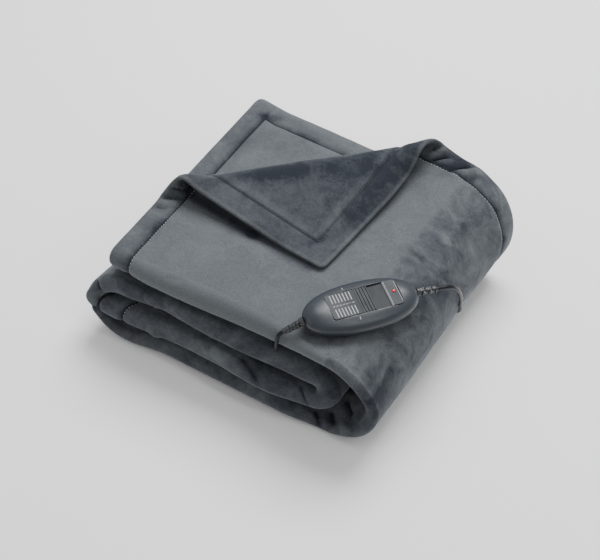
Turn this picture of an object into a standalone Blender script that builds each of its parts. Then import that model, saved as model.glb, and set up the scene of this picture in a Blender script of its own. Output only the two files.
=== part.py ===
"""Electric heated blanket: a plush throw folded to a stack, with its in-line slide control and lead.

The blanket is one sheet of cloth. It is folded twice across its width, so that every layer of the
stack is four sheets (P1, P2, Q2, Q1 from the outside in), and then rolled along its length in four
layers, clockwise as seen from the front. Metres, +Z up, the stack stands on z = 0 and is centred on
the origin. +X runs along the front of the stack and +Y away from it.
"""
import math

import bmesh
import bpy
from mathutils import Matrix, Vector

# Driving sizes of the cloth
CLOTH = 0.006            # the plush cloth, both plies together
PITCH = 0.0088           # from one sheet to the next in a layer
LAYER = 4 * PITCH        # four sheets
SHELL = 1.5 * PITCH      # from a layer's middle to the middle of its outermost sheet
FLOOR_LAYER = SHELL + CLOTH / 2      # height of the bottom layer's middle
TOP = FLOOR_LAYER + 3 * LAYER + SHELL + CLOTH / 2


def smooth(value, low, high):
    """0 below low, 1 above high, and a soft step between them."""
    t = min(max((value - low) / (high - low), 0.0), 1.0)
    return t * t * (3 - 2 * t)


def mix(a, b, t):
    return a + (b - a) * t


def along(rows, value):
    """Read a table of (place, size) rows at a place, softly from row to row."""
    if value <= rows[0][0]:
        return rows[0][1]
    for (x0, y0), (x1, y1) in zip(rows, rows[1:]):
        if value <= x1:
            return mix(y0, y1, smooth(value, x0, x1))
    return rows[-1][1]


def lump(value, centre, reach):
    """A soft hump of height 1 round a centre."""
    return math.exp(-((value - centre) / reach) ** 2)


# Where the stack's edges lie.  Columns: lap, front edge, back fold, back hem of Q1, how far the
# inner fold is drawn back from the front edge, and how much the front edge is pinched thin.
EDGES = {
    #        front    back   hem Q1  drawn back  pinch
    "L1": (-0.167, 0.146, 0.161, 0.022, 0.00),
    "UO": (-0.169, 0.143, 0.153, 0.050, 0.62),
    "L4": (-0.177, 0.151, 0.153, 0.034, 0.00),
    "UL": (-0.180, 0.143, 0.151, 0.052, 0.60),
    "L2": (-0.171, 0.149, 0.155, 0.032, 0.05),
    "UI": (-0.173, 0.143, 0.151, 0.022, 0.00),
    "L3": (-0.182, 0.146, 0.153, 0.022, 0.05),
}
# Where the back hem of P1 lies under the top layer
BACK_HEM = {"L4": 0.155, "UL": 0.153, "L2": 0.158, "UI": 0.153, "L3": 0.153}
# In the top layer the back hem of Q1 dips in from its corner, and that of P1 is askew: x, y
Q1_HEM = [(-0.168, 0.161), (-0.116, 0.154), (0.004, 0.152)]
TOP_HEM = [(-0.171, 0.189), (-0.046, 0.189), (0.064, 0.183), (0.134, 0.183)]
# The outer right bend bows out in the middle: columns y, x of its centre
RIGHT_BEND = [(-0.167, 0.1275), (-0.047, 0.128), (0.053, 0.121), (0.173, 0.120)]
LEFT_BEND = [(-0.177, -0.147), (-0.097, -0.138), (0.103, -0.136)]     # the same for the left bend
INNER_BEND = 0.112       # centre of the inner right bend
TOP_END = -0.168         # the free end of the top layer
INNER_END = [(-0.177, -0.166), (-0.132, -0.145), (0.003, -0.138)]     # the free end inside: y, x

# The control lies on the top layer, turned and tipped with the cloth.
CONTROL_AT = Vector((0.1295, -0.0927, TOP + 0.0012))     # the middle of its underside
CONTROL_TURN = math.radians(53)
CONTROL_TIP = math.radians(5.5)

# Stations.  A lap is a straight run or a bend; columns: name, steps, how far they crowd to its start
LENGTH_LAPS = [("L1", 9, 1), ("UO", 10, 1), ("L4", 7, 1), ("UL", 9, 1), ("L2", 7, 1), ("UI", 6, 1),
               ("L3", 8, 1)]
WIDTH_LAPS = [("P1", 8, 1), ("front", 7, 1), ("P2", 8, 1.7), ("back", 4, 1), ("Q2", 5, 1), ("inner", 5, 1),
              ("Q1", 6, 1)]


BLEND = 0.22             # share of a run in which its sizes go over to those of the bend beside it


def stations(laps):
    rows = []
    for name, steps, crowding in laps:
        first = 1 if rows else 0
        rows += [(name, (step / steps) ** crowding) for step in range(first, steps + 1)]
    return rows


def lap_sizes(lap, f):
    """The edge sizes at a share f of a lap: a bend keeps its own, a run blends to its neighbours."""
    names = [row[0] for row in LENGTH_LAPS]
    here = EDGES[lap]
    if lap.startswith("U"):
        return here
    i = names.index(lap)
    before = EDGES[names[max(i - 1, 0)]] if i else here
    after = EDGES[names[i + 1]] if i + 1 < len(names) else here
    start, end = smooth(f, 0.0, BLEND), smooth(f, 1.0 - BLEND, 1.0)
    return [mix(mix(b, h, start), a, end) for b, h, a in zip(before, here, after)]


def top_hem(lap, f):
    """The back hem of P1 and of Q1 in the top layer and round the right bend."""
    if lap == "L1":
        x = mix(TOP_END, RIGHT_BEND[-1][1], f)
        return along(TOP_HEM, x), along(Q1_HEM, x)
    return mix(TOP_HEM[-1][1], BACK_HEM["L4"], smooth(f, 0.0, 1.0)), EDGES["UO"][2]


def across(lap, f, sizes):
    """Where a sheet lies across the stack: y, and its height n above its layer's middle."""
    front, back, p1_hem, q1_hem, drawn, pinch = sizes
    nose = SHELL * (1 - pinch)           # radius of the outer front fold
    rise = SHELL - nose                  # its centre above the layer's middle
    nose_y = front + nose + CLOTH / 2
    inner_y = front + drawn
    half = PITCH / 2
    if lap == "P1":
        return mix(p1_hem, nose_y, f), SHELL
    if lap == "front":
        return nose_y - nose * math.sin(math.pi * f), rise + nose * math.cos(math.pi * f)
    if lap == "P2":
        y = mix(nose_y, back, f)
        return y, mix(rise - nose, -SHELL, smooth(y, nose_y, inner_y - 0.006))
    if lap == "back":
        return back + half * math.sin(math.pi * f), -PITCH - half * math.cos(math.pi * f)
    if lap == "Q2":
        return mix(back, inner_y, f), -half
    if lap == "inner":
        return inner_y - half * math.sin(math.pi * f), -half * math.cos(math.pi * f)
    return mix(inner_y, q1_hem, f), half


def folded(length_station, width_station):
    """A point of the cloth in the folded stack, before the top corner is turned over."""
    lap, f = length_station
    sheet, g = width_station
    front, back, q1_hem, drawn, pinch = lap_sizes(lap, f)
    if lap in BACK_HEM:
        p1_hem = BACK_HEM[lap]
    else:
        p1_hem, q1_hem = top_hem(lap, f)
    y, n = across(sheet, g, (front, back, p1_hem, q1_hem, drawn, pinch))
    right = along(RIGHT_BEND, y)
    left = along(LEFT_BEND, y)
    low, middle, high = FLOOR_LAYER, FLOOR_LAYER + 1.5 * LAYER, FLOOR_LAYER + 3 * LAYER
    turn = math.pi * f
    if lap == "L1":
        return Vector((mix(TOP_END, right, f), y, high + n))
    if lap == "UO":
        reach = 1.5 * LAYER + n
        return Vector((right + reach * math.sin(turn), y, middle + reach * math.cos(turn)))
    if lap == "L4":
        return Vector((mix(right, left, f), y, low - n))
    if lap == "UL":
        reach = LAYER + n
        return Vector((left - reach * math.sin(turn), y, low + LAYER - reach * math.cos(turn)))
    if lap == "L2":
        return Vector((mix(left, INNER_BEND, f), y, low + 2 * LAYER + n))
    if lap == "UI":
        reach = LAYER / 2 + n
        return Vector((INNER_BEND + reach * math.sin(turn), y, middle + reach * math.cos(turn)))
    return Vector((mix(INNER_BEND, along(INNER_END, y), f), y, low + LAYER - n))


# The turned corner.  The top sheet leaves the stack along a slanting line, goes up and over in a
# soft loop, and comes down on itself with its point forward.
TURN_LEFT = Vector((-0.168, -0.077))     # where the line meets the left hem
TURN_RIGHT = Vector((0.109, 0.176))      # where it meets the back hem
LOOP_LEFT, LOOP_RIGHT = 0.0148, 0.0165   # the loop's radius at its two ends
SLOPE = math.radians(13)                 # how steeply the flap comes down from the loop
SETTLE = 0.045                           # radius of the soft bend where it touches down
FLAP_GAP = 0.0085                        # from the flap's middle to the sheet below it
LOOP_CUTS = 9


def loop_profile(s, radius):
    """Out and up from the turn line, for a length s of cloth: distance behind the line, height."""
    arc = radius * (math.pi + SLOPE)
    if s <= 0:
        return s, 0.0
    if s <= arc:
        a = s / radius
        return radius * math.sin(a), radius * (1 - math.cos(a))
    out, up = -radius * math.sin(SLOPE), radius * (1 + math.cos(SLOPE))
    s -= arc
    settle_drop = SETTLE * (1 - math.cos(SLOPE))
    run = max((up - settle_drop - FLAP_GAP) / math.sin(SLOPE), 0.0)
    if s <= run:
        return out - s * math.cos(SLOPE), up - s * math.sin(SLOPE)
    out, up = out - run * math.cos(SLOPE), up - run * math.sin(SLOPE)
    s -= run
    bend = SETTLE * SLOPE
    if s <= bend:
        a = SLOPE - s / SETTLE
        return (out - SETTLE * (math.sin(SLOPE) - math.sin(a)),
                up - SETTLE * (math.cos(a) - math.cos(SLOPE)))
    return out - SETTLE * math.sin(SLOPE) - (s - bend), up - settle_drop


def turn_frame():
    line = (TURN_RIGHT - TURN_LEFT).normalized()
    return line, Vector((-line.y, line.x)), (TURN_RIGHT - TURN_LEFT).length


def loop_radius(a):
    span = turn_frame()[2]
    return mix(LOOP_LEFT, LOOP_RIGHT, a / span)


def turned_corner(point):
    line, behind, _ = turn_frame()
    flat = Vector((point.x, point.y)) - TURN_LEFT
    a, s = flat.dot(line), flat.dot(behind)
    if s <= 0:
        return point
    out, up = loop_profile(s, loop_radius(a))
    place = TURN_LEFT + line * a + behind * out
    return Vector((place.x, place.y, point.z + up))


def settled(point):
    """The soft unevenness of the whole stack: nearby points move alike, so no sheets can cross."""
    x, y, z = point
    above = smooth(z, 0.012, 0.05)
    by_control = lump(x, CONTROL_AT.x, 0.07) * lump(y, CONTROL_AT.y, 0.07)
    # the back hems sink a little where nothing carries them, except where the turned corner ends
    dz = -0.007 * smooth(y, 0.145, 0.178) * smooth(z, 0.105, 0.13) * (1 - smooth(x, -0.046, 0.054))
    dz += 0.009 * smooth(y, 0.083, 0.173) * lump(x, 0.089, 0.055) * smooth(z, 0.128, 0.136)
    # the layers are not quite level, and swell up to the two ends of the control
    dz += 0.0022 * above * (1 - by_control) * math.sin(9 * x + 0.96) * math.cos(8 * y)
    dz += 0.0045 * above * lump(x, 0.176, 0.028) * lump(y, -0.037, 0.035)
    # the front folds wave in and out
    front = 1 - smooth(y, -0.167, -0.077)
    dy = 0.003 * front * above * math.sin(23 * x - 0.09 + 60 * z)
    return Vector((x, y + dy, z + dz))


def material(name, colour, roughness, metallic=0.0):
    made = bpy.data.materials.new(name)
    made.use_nodes = True
    shader = made.node_tree.nodes["Principled BSDF"]
    shader.inputs["Base Color"].default_value = (*colour, 1.0)
    shader.inputs["Roughness"].default_value = roughness
    shader.inputs["Metallic"].default_value = metallic
    return made


def blanket(parts):
    """One sheet of plush: a flat grid, laid along the folds, its corner turned over, then thickened."""
    length_rows, width_rows = stations(LENGTH_LAPS), stations(WIDTH_LAPS)
    bm = bmesh.new()
    columns, rows = len(length_rows) - 1, len(width_rows) - 1
    bmesh.ops.create_grid(bm, x_segments=columns, y_segments=rows, size=0.5)
    on_top = bm.faces.layers.int.new("on_top")
    for face in bm.faces:
        centre = face.calc_center_median()
        i, j = int((centre.x + 0.5) * columns), int((centre.y + 0.5) * rows)
        top_run = length_rows[i][0] == "L1" and length_rows[i + 1][0] == "L1"
        top_sheet = width_rows[j][0] == "P1" and width_rows[j + 1][0] == "P1"
        face[on_top] = int(top_run and top_sheet)
    for vert in bm.verts:
        i, j = round((vert.co.x + 0.5) * columns), round((vert.co.y + 0.5) * rows)
        vert.co = folded(length_rows[i], width_rows[j])
    # the loop narrows to one end like a cone, so its cuts are rays from the cone's point
    line, behind, span = turn_frame()
    apex = TURN_LEFT - line * (span * LOOP_LEFT / (LOOP_RIGHT - LOOP_LEFT))
    reach = (TURN_RIGHT - apex).length
    for cut in range(LOOP_CUTS + 1):
        lift = LOOP_RIGHT * (math.pi + SLOPE) * cut / LOOP_CUTS
        ray = (line * reach + behind * lift).normalized()
        faces = [face for face in bm.faces if face[on_top]]
        edges = {edge for face in faces for edge in face.edges}
        verts = {vert for face in faces for vert in face.verts}
        bmesh.ops.bisect_plane(bm, geom=list(verts) + list(edges) + faces, dist=1e-5,
                               plane_co=(apex.x, apex.y, 0), plane_no=(-ray.y, ray.x, 0))
    top_verts = {vert for face in bm.faces if face[on_top] for vert in face.verts}
    bmesh.ops.remove_doubles(bm, verts=list(top_verts), dist=0.0015)
    turning = {vert for face in bm.faces if face[on_top] for vert in face.verts}
    for vert in turning:
        vert.co = turned_corner(vert.co)
    for vert in bm.verts:
        vert.co = settled(vert.co)
    bmesh.ops.recalc_face_normals(bm, faces=bm.faces[:])
    mesh = bpy.data.meshes.new("blanket")
    bm.to_mesh(mesh)
    bm.free()
    mesh.shade_smooth()
    piece = bpy.data.objects.new("blanket", mesh)
    piece.data.materials.append(material("grey_plush", (0.09, 0.10, 0.11), 0.95))
    thick = piece.modifiers.new("thickness", "SOLIDIFY")
    thick.thickness = CLOTH
    thick.offset = 0
    thick.use_even_offset = True
    parts.objects.link(piece)
    return piece


# The control: an oval housing in two shells, with a slide switch in a long window
HOUSING_LONG, HOUSING_WIDE = 0.139, 0.0665
OVAL = 2.2               # how square the oval is: 2 is an ellipse
GAP = 0.0003             # between pieces that are fitted together
# Columns: height, how far the outline is drawn in
LOWER_SHELL = [(0.0, 0.0105), (0.0012, 0.0068), (0.0045, 0.0022), (0.0080, 0.0005), (0.0108, 0.0)]
UPPER_SHELL = [(0.0111, 0.0), (0.0147, 0.0008), (0.0184, 0.0034), (0.0210, 0.0074), (0.0230, 0.0125),
               (0.0244, 0.0185), (0.0252, 0.0250)]
WINDOW_LEFT, WINDOW_RIGHT, WINDOW_HALF = -0.0402, 0.0458, 0.0180
WINDOW_FLOOR = 0.0212    # the track that the slider runs on
WINDOW_CORNER = 0.0035
PANEL_LEFT = 0.0308
PANEL_TOP = 0.0238       # the lamp's panel and the flat of the slider end level with this
GRIP_LEFT, SLIDER_RIGHT, SLIDER_HALF = -0.0054, 0.0114, 0.0174
SLIDER_TOP = 0.0248      # of its ribs
SLIDER_GROOVES = 4
GROOVE_DEPTH = 0.0012
# A finger groove from its rib's right side to its own left side.  Columns: share of its pitch, depth
GROOVE_SHAPE = [(0.80, 0.0), (0.55, 0.0), (0.45, GROOVE_DEPTH), (0.10, GROOVE_DEPTH)]
LENS_AT = Vector((0.0402, 0.0015))
LENS_PROFILE = [(0, 0.0011), (0.0009, 0.0009), (0.0016, 0.0005), (0.0019, 0), (0, 0)]   # radius, height

# Strain reliefs, cord and plug
RELIEF_LONG = 0.0245
RELIEF_BASE, RELIEF_TIP = 0.0044, 0.0034
RELIEF_RIBS = 5
RELIEF_HEIGHT = 0.0108   # of its axis above the underside of the housing
# Columns: name, end of the housing, droop, gap to the housing
RELIEF_TO_BLANKET = ("relief_blanket", -1, math.radians(24), 4 * GAP)
RELIEF_TO_MAINS = ("relief_mains", 1, math.radians(6), 1.5 * GAP)
CORD = 0.005
COIL_AT = Vector((0.014, 0.208))
COIL_INNER, COIL_OUTER = 0.0225, 0.0375      # middle of the innermost and the outermost turn
COIL_LAYERS = 2
COIL_SLACK = 0.0004      # between its two layers
FLOOR_CORD = CORD / 2 + 0.0002               # the middle of a cord that lies on the floor
PLUG_AT = Vector((-0.048, 0.2435, 0.0066))   # where the lead enters the plug
# Columns: distance from the cord's end, half width, half thickness
PLUG_SHAPE = [(0.0, 0.0042, 0.0042), (0.009, 0.0056, 0.0052), (0.016, 0.0120, 0.0064),
              (0.030, 0.0132, 0.0064), (0.036, 0.0090, 0.0060)]
PIN_LONG, PIN_RADIUS, PIN_APART = 0.019, 0.0020, 0.0186


def link(name, mesh_or_curve, parts, look, frame=None):
    piece = bpy.data.objects.new(name, mesh_or_curve)
    piece.data.materials.append(look)
    piece.parent = frame
    parts.objects.link(piece)
    return piece


def finish(name, bm, parts, look, frame=None):
    mesh = bpy.data.meshes.new(name)
    bmesh.ops.recalc_face_normals(bm, faces=bm.faces[:])
    bm.to_mesh(mesh)
    bm.free()
    mesh.shade_smooth()
    mesh.set_sharp_from_angle(angle=math.radians(35))
    return link(name, mesh, parts, look, frame)


def lofted(name, rows, power, segments, parts, look, frame):
    """A closed solid of oval sections up its own Z.  Rows: height, half length, half width."""
    bm = bmesh.new()
    ring = bmesh.ops.create_circle(bm, cap_ends=True, radius=1, segments=segments)["verts"]
    height, long, wide = rows[0]
    for vert in ring:
        c, s = vert.co.x, vert.co.y
        vert.co = (long * math.copysign(abs(c) ** (2 / power), c),
                   wide * math.copysign(abs(s) ** (2 / power), s), height)
    edges = bm.edges[:]
    for row in rows[1:]:
        grown = bmesh.ops.extrude_edge_only(bm, edges=edges)["geom"]
        verts = [item for item in grown if isinstance(item, bmesh.types.BMVert)]
        edges = [item for item in grown if isinstance(item, bmesh.types.BMEdge)]
        bmesh.ops.scale(bm, verts=verts, vec=(row[1] / long, row[2] / wide, 1))
        bmesh.ops.translate(bm, verts=verts, vec=(0, 0, row[0] - height))
        height, long, wide = row
    bmesh.ops.edgeloop_fill(bm, edges=edges)
    return finish(name, bm, parts, look, frame)


def slab(name, low, high, corner, parts, look, frame):
    """A flat block between two corners, its upright edges rounded."""
    bm = bmesh.new()
    bmesh.ops.create_cube(bm, size=1)
    size, middle = high - low, (high + low) / 2
    bmesh.ops.scale(bm, verts=bm.verts, vec=size)
    bmesh.ops.translate(bm, verts=bm.verts, vec=middle)
    upright = [edge for edge in bm.edges if abs(edge.verts[0].co.z - edge.verts[1].co.z) > size.z / 2]
    bmesh.ops.bevel(bm, geom=upright, offset=corner, segments=4, profile=0.5, affect="EDGES", material=-1)
    return finish(name, bm, parts, look, frame)


def turned(name, profile, steps, parts, look, frame=None):
    """A turned piece round its own Z.  Columns: radius, height, down the outer side."""
    mesh = bpy.data.meshes.new(name)
    points = [(radius, 0, height) for radius, height in profile]
    closed = profile[0][0] > 0
    edges = [(i, i + 1) for i in range(len(points) - 1)] + ([(len(points) - 1, 0)] if closed else [])
    mesh.from_pydata(points, edges, [])
    piece = link(name, mesh, parts, look, frame)
    spin = piece.modifiers.new("turn", "SCREW")
    spin.steps = spin.render_steps = steps
    spin.use_merge_vertices = True
    spin.merge_threshold = 0.0001
    return piece


def housing(parts, plastic, frame):
    """The two shells of the control; the upper one is cut out for the switch's window."""
    def sections(profile):
        return [(z, HOUSING_LONG / 2 - inset, HOUSING_WIDE / 2 - inset) for z, inset in profile]

    lofted("housing_lower", sections(LOWER_SHELL), OVAL, 56, parts, plastic, frame)
    upper = lofted("housing_upper", sections(UPPER_SHELL), OVAL, 56, parts, plastic, frame)
    cutters = bpy.data.collections.new("cutters")
    bpy.context.scene.collection.children.link(cutters)
    window = slab("window_cutter", Vector((WINDOW_LEFT, -WINDOW_HALF, WINDOW_FLOOR)),
                  Vector((WINDOW_RIGHT, WINDOW_HALF, 2 * WINDOW_FLOOR)), WINDOW_CORNER,
                  cutters, plastic, frame)
    window.hide_render = True
    window.display_type = "WIRE"
    cut = upper.modifiers.new("window", "BOOLEAN")
    cut.operation = "DIFFERENCE"
    cut.object = window


def switch(parts, frame):
    """What lies in the window: the long slider, and the lamp's panel with its lens."""
    base = WINDOW_FLOOR + GAP
    half = WINDOW_HALF - 2 * GAP
    slab("lamp_panel", Vector((PANEL_LEFT, -half, base)), Vector((WINDOW_RIGHT - 2 * GAP, half, PANEL_TOP)),
         WINDOW_CORNER - GAP, parts, material("panel_grey", (0.12, 0.125, 0.13), 0.3), frame)
    lens = turned("lamp_lens", LENS_PROFILE, 16, parts, material("red_lens", (0.75, 0.02, 0.03), 0.15),
                  frame)
    lens.location = (*LENS_AT, PANEL_TOP + GAP)
    slider(parts, frame, base)


def slider(parts, frame, base):
    """The slider: a flat plate that ends in a grip with finger grooves, drawn from the side, extruded."""
    bm = bmesh.new()
    left_end = WINDOW_LEFT + 2 * GAP
    pitch = (SLIDER_RIGHT - GRIP_LEFT) / (SLIDER_GROOVES + 0.5)
    outline = [(left_end, base), (SLIDER_RIGHT, base), (SLIDER_RIGHT, SLIDER_TOP - GROOVE_DEPTH / 2)]
    for groove in reversed(range(SLIDER_GROOVES)):
        left = GRIP_LEFT + pitch * (groove + 0.5)
        for share, depth in GROOVE_SHAPE:
            outline.append((left + pitch * share, SLIDER_TOP - depth))
    outline += [(GRIP_LEFT + pitch * 0.45, SLIDER_TOP), (GRIP_LEFT, PANEL_TOP), (left_end, PANEL_TOP)]
    side = bm.faces.new([bm.verts.new((x, -SLIDER_HALF, z)) for x, z in outline])
    swept = bmesh.ops.extrude_face_region(bm, geom=[side])["geom"]
    bmesh.ops.translate(bm, verts=[item for item in swept if isinstance(item, bmesh.types.BMVert)],
                        vec=(0, 2 * SLIDER_HALF, 0))
    upright = [edge for edge in bm.edges
               if all(vert.co.x < left_end + GAP for vert in edge.verts)
               and abs(edge.verts[0].co.z - edge.verts[1].co.z) > GAP]
    bmesh.ops.bevel(bm, geom=upright, offset=WINDOW_CORNER - GAP, segments=4, profile=0.5, affect="EDGES",
                    material=-1)
    bmesh.ops.triangulate(bm, faces=bm.faces[:])
    finish("heat_slider", bm, parts, material("slider_grey", (0.09, 0.094, 0.1), 0.4), frame)


def relief_profile():
    """A tapered sleeve with ribs, from its tip down to the collar at the housing."""
    rows = [(0, RELIEF_LONG), (RELIEF_TIP - 0.0003, RELIEF_LONG), (RELIEF_TIP, RELIEF_LONG - 0.0005)]
    ribbed = RELIEF_LONG - 0.006
    pitch = ribbed / RELIEF_RIBS
    for rib in range(RELIEF_RIBS):
        top = RELIEF_LONG - 0.003 - rib * pitch
        radius = mix(RELIEF_TIP, RELIEF_BASE, 1 - top / RELIEF_LONG)
        groove = radius - 0.0009
        rows += [(radius, top), (groove, top - 0.0002), (groove, top - pitch * 0.4),
                 (radius + 0.0001, top - pitch * 0.4 - 0.0002)]
    return rows + [(RELIEF_BASE, 0.0022), (RELIEF_BASE + 0.0009, 0.0018), (RELIEF_BASE + 0.0009, 0), (0, 0)]


def relief(row, parts, rubber, frame):
    """A strain relief on one end of the housing, drooping a little.  Gives its tip and direction."""
    name, side, droop, gap = row
    outward = Vector((side * math.cos(droop), 0, -math.sin(droop)))
    base = Vector((side * (HOUSING_LONG / 2 + gap), 0, RELIEF_HEIGHT))
    piece = turned(name, relief_profile(), 14, parts, rubber, frame)
    piece.location = base
    piece.rotation_euler = Vector((0, 0, 1)).rotation_difference(outward).to_euler()
    turn = Matrix.Rotation(CONTROL_TIP, 3, "Y") @ Matrix.Rotation(CONTROL_TURN, 3, "Z")
    return CONTROL_AT + turn @ (base + outward * (RELIEF_LONG + 3 * GAP)), turn @ outward


def smooth_route(points, step):
    """Even points along a smooth curve through a route's own points."""
    ends = [points[0] * 2 - points[1]] + points + [points[-1] * 2 - points[-2]]
    fine = []
    for before, start, end, after in zip(ends, ends[1:], ends[2:], ends[3:]):
        for i in range(16):
            t = i / 16
            fine.append((start * 2 + (end - before) * t + (before * 2 - start * 5 + end * 4 - after) * t * t
                         + (start * 3 - before - end * 3 + after) * t ** 3) / 2)
    fine.append(points[-1])
    reach = [0.0]
    for a, b in zip(fine, fine[1:]):
        reach.append(reach[-1] + (b - a).length)
    count = max(round(reach[-1] / step), 2)
    even, i = [], 0
    for k in range(count + 1):
        wanted = reach[-1] * k / count
        while i < len(fine) - 2 and reach[i + 1] < wanted:
            i += 1
        even.append(fine[i].lerp(fine[i + 1], (wanted - reach[i]) / max(reach[i + 1] - reach[i], 1e-9)))
    return even


def tube(name, points, step, parts, look):
    curve = bpy.data.curves.new(name, "CURVE")
    curve.dimensions = "3D"
    curve.bevel_depth = CORD / 2
    curve.bevel_resolution = 2
    curve.use_fill_caps = True
    line = curve.splines.new("POLY")
    even = smooth_route(points, step)
    line.points.add(len(even) - 1)
    for spot, point in zip(line.points, even):
        spot.co = (*point, 1)
    link(name, curve, parts, look)


def cords(parts, rubber, frame):
    """The short lead into the blanket, and the mains lead with its coil and plug."""
    left_tip, left_way = relief(RELIEF_TO_BLANKET, parts, rubber, frame)
    right_tip, right_way = relief(RELIEF_TO_MAINS, parts, rubber, frame)
    # over the front edge of the top layer and into the fold below it
    tube("blanket_lead", [left_tip, left_tip + left_way * 0.009, Vector((0.0688, -0.1742, 0.1275)),
                          Vector((0.0675, -0.1732, 0.1185)), Vector((0.0640, -0.1692, 0.1085)),
                          Vector((0.0580, -0.1650, 0.1052))], 0.005, parts, rubber)
    # a loop off the top, down the right bend, along the floor under it and round the back corner
    tube("mains_lead", [right_tip, right_tip + right_way * 0.010, Vector((0.1972, 0.0070, 0.1190)),
                        Vector((0.1990, 0.0180, 0.0980)), Vector((0.1965, 0.0320, 0.0730)),
                        Vector((0.1900, 0.0460, 0.0460)), Vector((0.1790, 0.0580, 0.0230)),
                        Vector((0.1650, 0.0730, 0.0075)), Vector((0.1575, 0.0950, 0.0031)),
                        Vector((0.1530, 0.1230, FLOOR_CORD)), Vector((0.1520, 0.1530, FLOOR_CORD)),
                        Vector((0.1460, 0.1830, FLOOR_CORD)), Vector((0.1300, 0.2090, FLOOR_CORD)),
                        Vector((0.1060, 0.2270, FLOOR_CORD)), Vector((0.0790, 0.2380, FLOOR_CORD)),
                        Vector((0.0540, 0.2440, FLOOR_CORD)), Vector((0.0345, 0.2459, FLOOR_CORD))],
         0.0105, parts, rubber)
    # the coil as one ring of its outside size
    wall, lid, soft = CORD / 2, COIL_LAYERS * CORD + COIL_SLACK, 0.0012
    inner, outer = COIL_INNER - wall, COIL_OUTER + wall
    coil = turned("lead_coil", [(outer - soft, lid), (outer, lid - soft), (outer, soft), (outer - soft, 0),
                                (inner + soft, 0), (inner, soft), (inner, lid - soft), (inner + soft, lid)],
                  40, parts, rubber)
    coil.location = (*COIL_AT, FLOOR_CORD - CORD / 2)
    tube("plug_tail", [Vector((-0.0063, 0.2457, 0.0072)), Vector((-0.0210, 0.2460, 0.0068)),
                       Vector((-0.0350, 0.2438, PLUG_AT.z)), PLUG_AT + Vector((2 * GAP, 0, 0))],
         0.007, parts, rubber)
    plug(parts, rubber)


def plug(parts, rubber):
    """A plain flat two-pin plug, lying on its side behind the stack."""
    frame = bpy.data.objects.new("plug_frame", None)
    parts.objects.link(frame)
    frame.location = PLUG_AT
    frame.rotation_euler = (math.radians(90), 0, math.radians(-90))
    lofted("plug_body", PLUG_SHAPE, 3.2, 28, parts, rubber, frame)
    nickel = material("nickel", (0.7, 0.68, 0.64), 0.25, 1.0)
    for name, side in (("plug_pin_a", -1), ("plug_pin_b", 1)):
        bm = bmesh.new()
        bmesh.ops.create_cone(bm, cap_ends=True, segments=14, radius1=PIN_RADIUS, radius2=PIN_RADIUS * 0.8,
                              depth=PIN_LONG)
        pin = finish(name, bm, parts, nickel, frame)
        pin.location = (side * PIN_APART / 2, 0, PLUG_SHAPE[-1][0] + GAP + PIN_LONG / 2)


def main():
    for old in list(bpy.data.objects):
        bpy.data.objects.remove(old)
    parts = bpy.data.collections.new("heated_blanket")
    bpy.context.scene.collection.children.link(parts)
    blanket(parts)
    frame = bpy.data.objects.new("control_frame", None)
    parts.objects.link(frame)
    frame.location = CONTROL_AT
    frame.rotation_mode = "ZYX"
    frame.rotation_euler = (0, CONTROL_TIP, CONTROL_TURN)
    plastic = material("dark_plastic", (0.055, 0.058, 0.062), 0.35)
    rubber = material("black_rubber", (0.03, 0.031, 0.033), 0.6)
    housing(parts, plastic, frame)
    switch(parts, frame)
    cords(parts, rubber, frame)
    bpy.context.view_layer.update()


main()
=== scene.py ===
"""An electric heated blanket, folded to a stack, with its slide control on top and its lead behind."""

import math

import bmesh
import bpy
from mathutils import Matrix, Vector, noise
from mathutils.bvhtree import BVHTree


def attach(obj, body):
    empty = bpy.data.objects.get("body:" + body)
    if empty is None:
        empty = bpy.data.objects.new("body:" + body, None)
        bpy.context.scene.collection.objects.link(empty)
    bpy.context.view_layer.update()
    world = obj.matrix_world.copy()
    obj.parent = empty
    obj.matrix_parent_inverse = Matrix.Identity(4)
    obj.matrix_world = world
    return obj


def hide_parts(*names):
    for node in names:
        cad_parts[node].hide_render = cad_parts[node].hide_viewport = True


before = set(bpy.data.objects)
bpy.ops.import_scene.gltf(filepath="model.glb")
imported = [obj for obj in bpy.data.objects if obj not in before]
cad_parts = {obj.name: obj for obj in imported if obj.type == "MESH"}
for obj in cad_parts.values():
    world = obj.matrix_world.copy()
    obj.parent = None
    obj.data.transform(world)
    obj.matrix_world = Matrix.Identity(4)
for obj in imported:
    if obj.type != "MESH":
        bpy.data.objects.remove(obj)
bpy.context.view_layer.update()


# ---------------------------------------------------------------------------------------------
# The throw.  One cloth of two brushed plush plies with the heating wire between them, sewn round
# its edge with a 29 mm border.  It is folded in half twice across its width, then rolled up along
# its length in four layers, and the back left corner of its top sheet is turned over.
# ---------------------------------------------------------------------------------------------
CLOTH = 0.006                        # both plies together
PITCH = 0.0088                       # from one sheet to the next in a layer
LAYER = 4 * PITCH
SHELL = 1.5 * PITCH                  # from a layer's middle to the middle of its outermost sheet
FLOOR_LAYER = SHELL + CLOTH / 2      # height of the bottom layer's middle
TOP = FLOOR_LAYER + 3 * LAYER + SHELL + CLOTH / 2
BORDER = 0.029                       # from the cloth's edge to its stitching
CORNER = 0.008                       # radius of the cloth's corners

# Where the stack's edges lie.  Columns: lap, front edge, back fold, back hem of Q1, and how far
# the inner fold is drawn back from the front edge.
EDGES = {
    "L1": (-0.167, 0.146, 0.161, 0.022),
    "UO": (-0.169, 0.143, 0.153, 0.050),
    "L4": (-0.177, 0.151, 0.153, 0.034),
    "UL": (-0.180, 0.143, 0.151, 0.052),
    "L2": (-0.171, 0.149, 0.155, 0.032),
    "UI": (-0.173, 0.143, 0.151, 0.022),
    "L3": (-0.182, 0.146, 0.153, 0.022),
}
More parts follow.
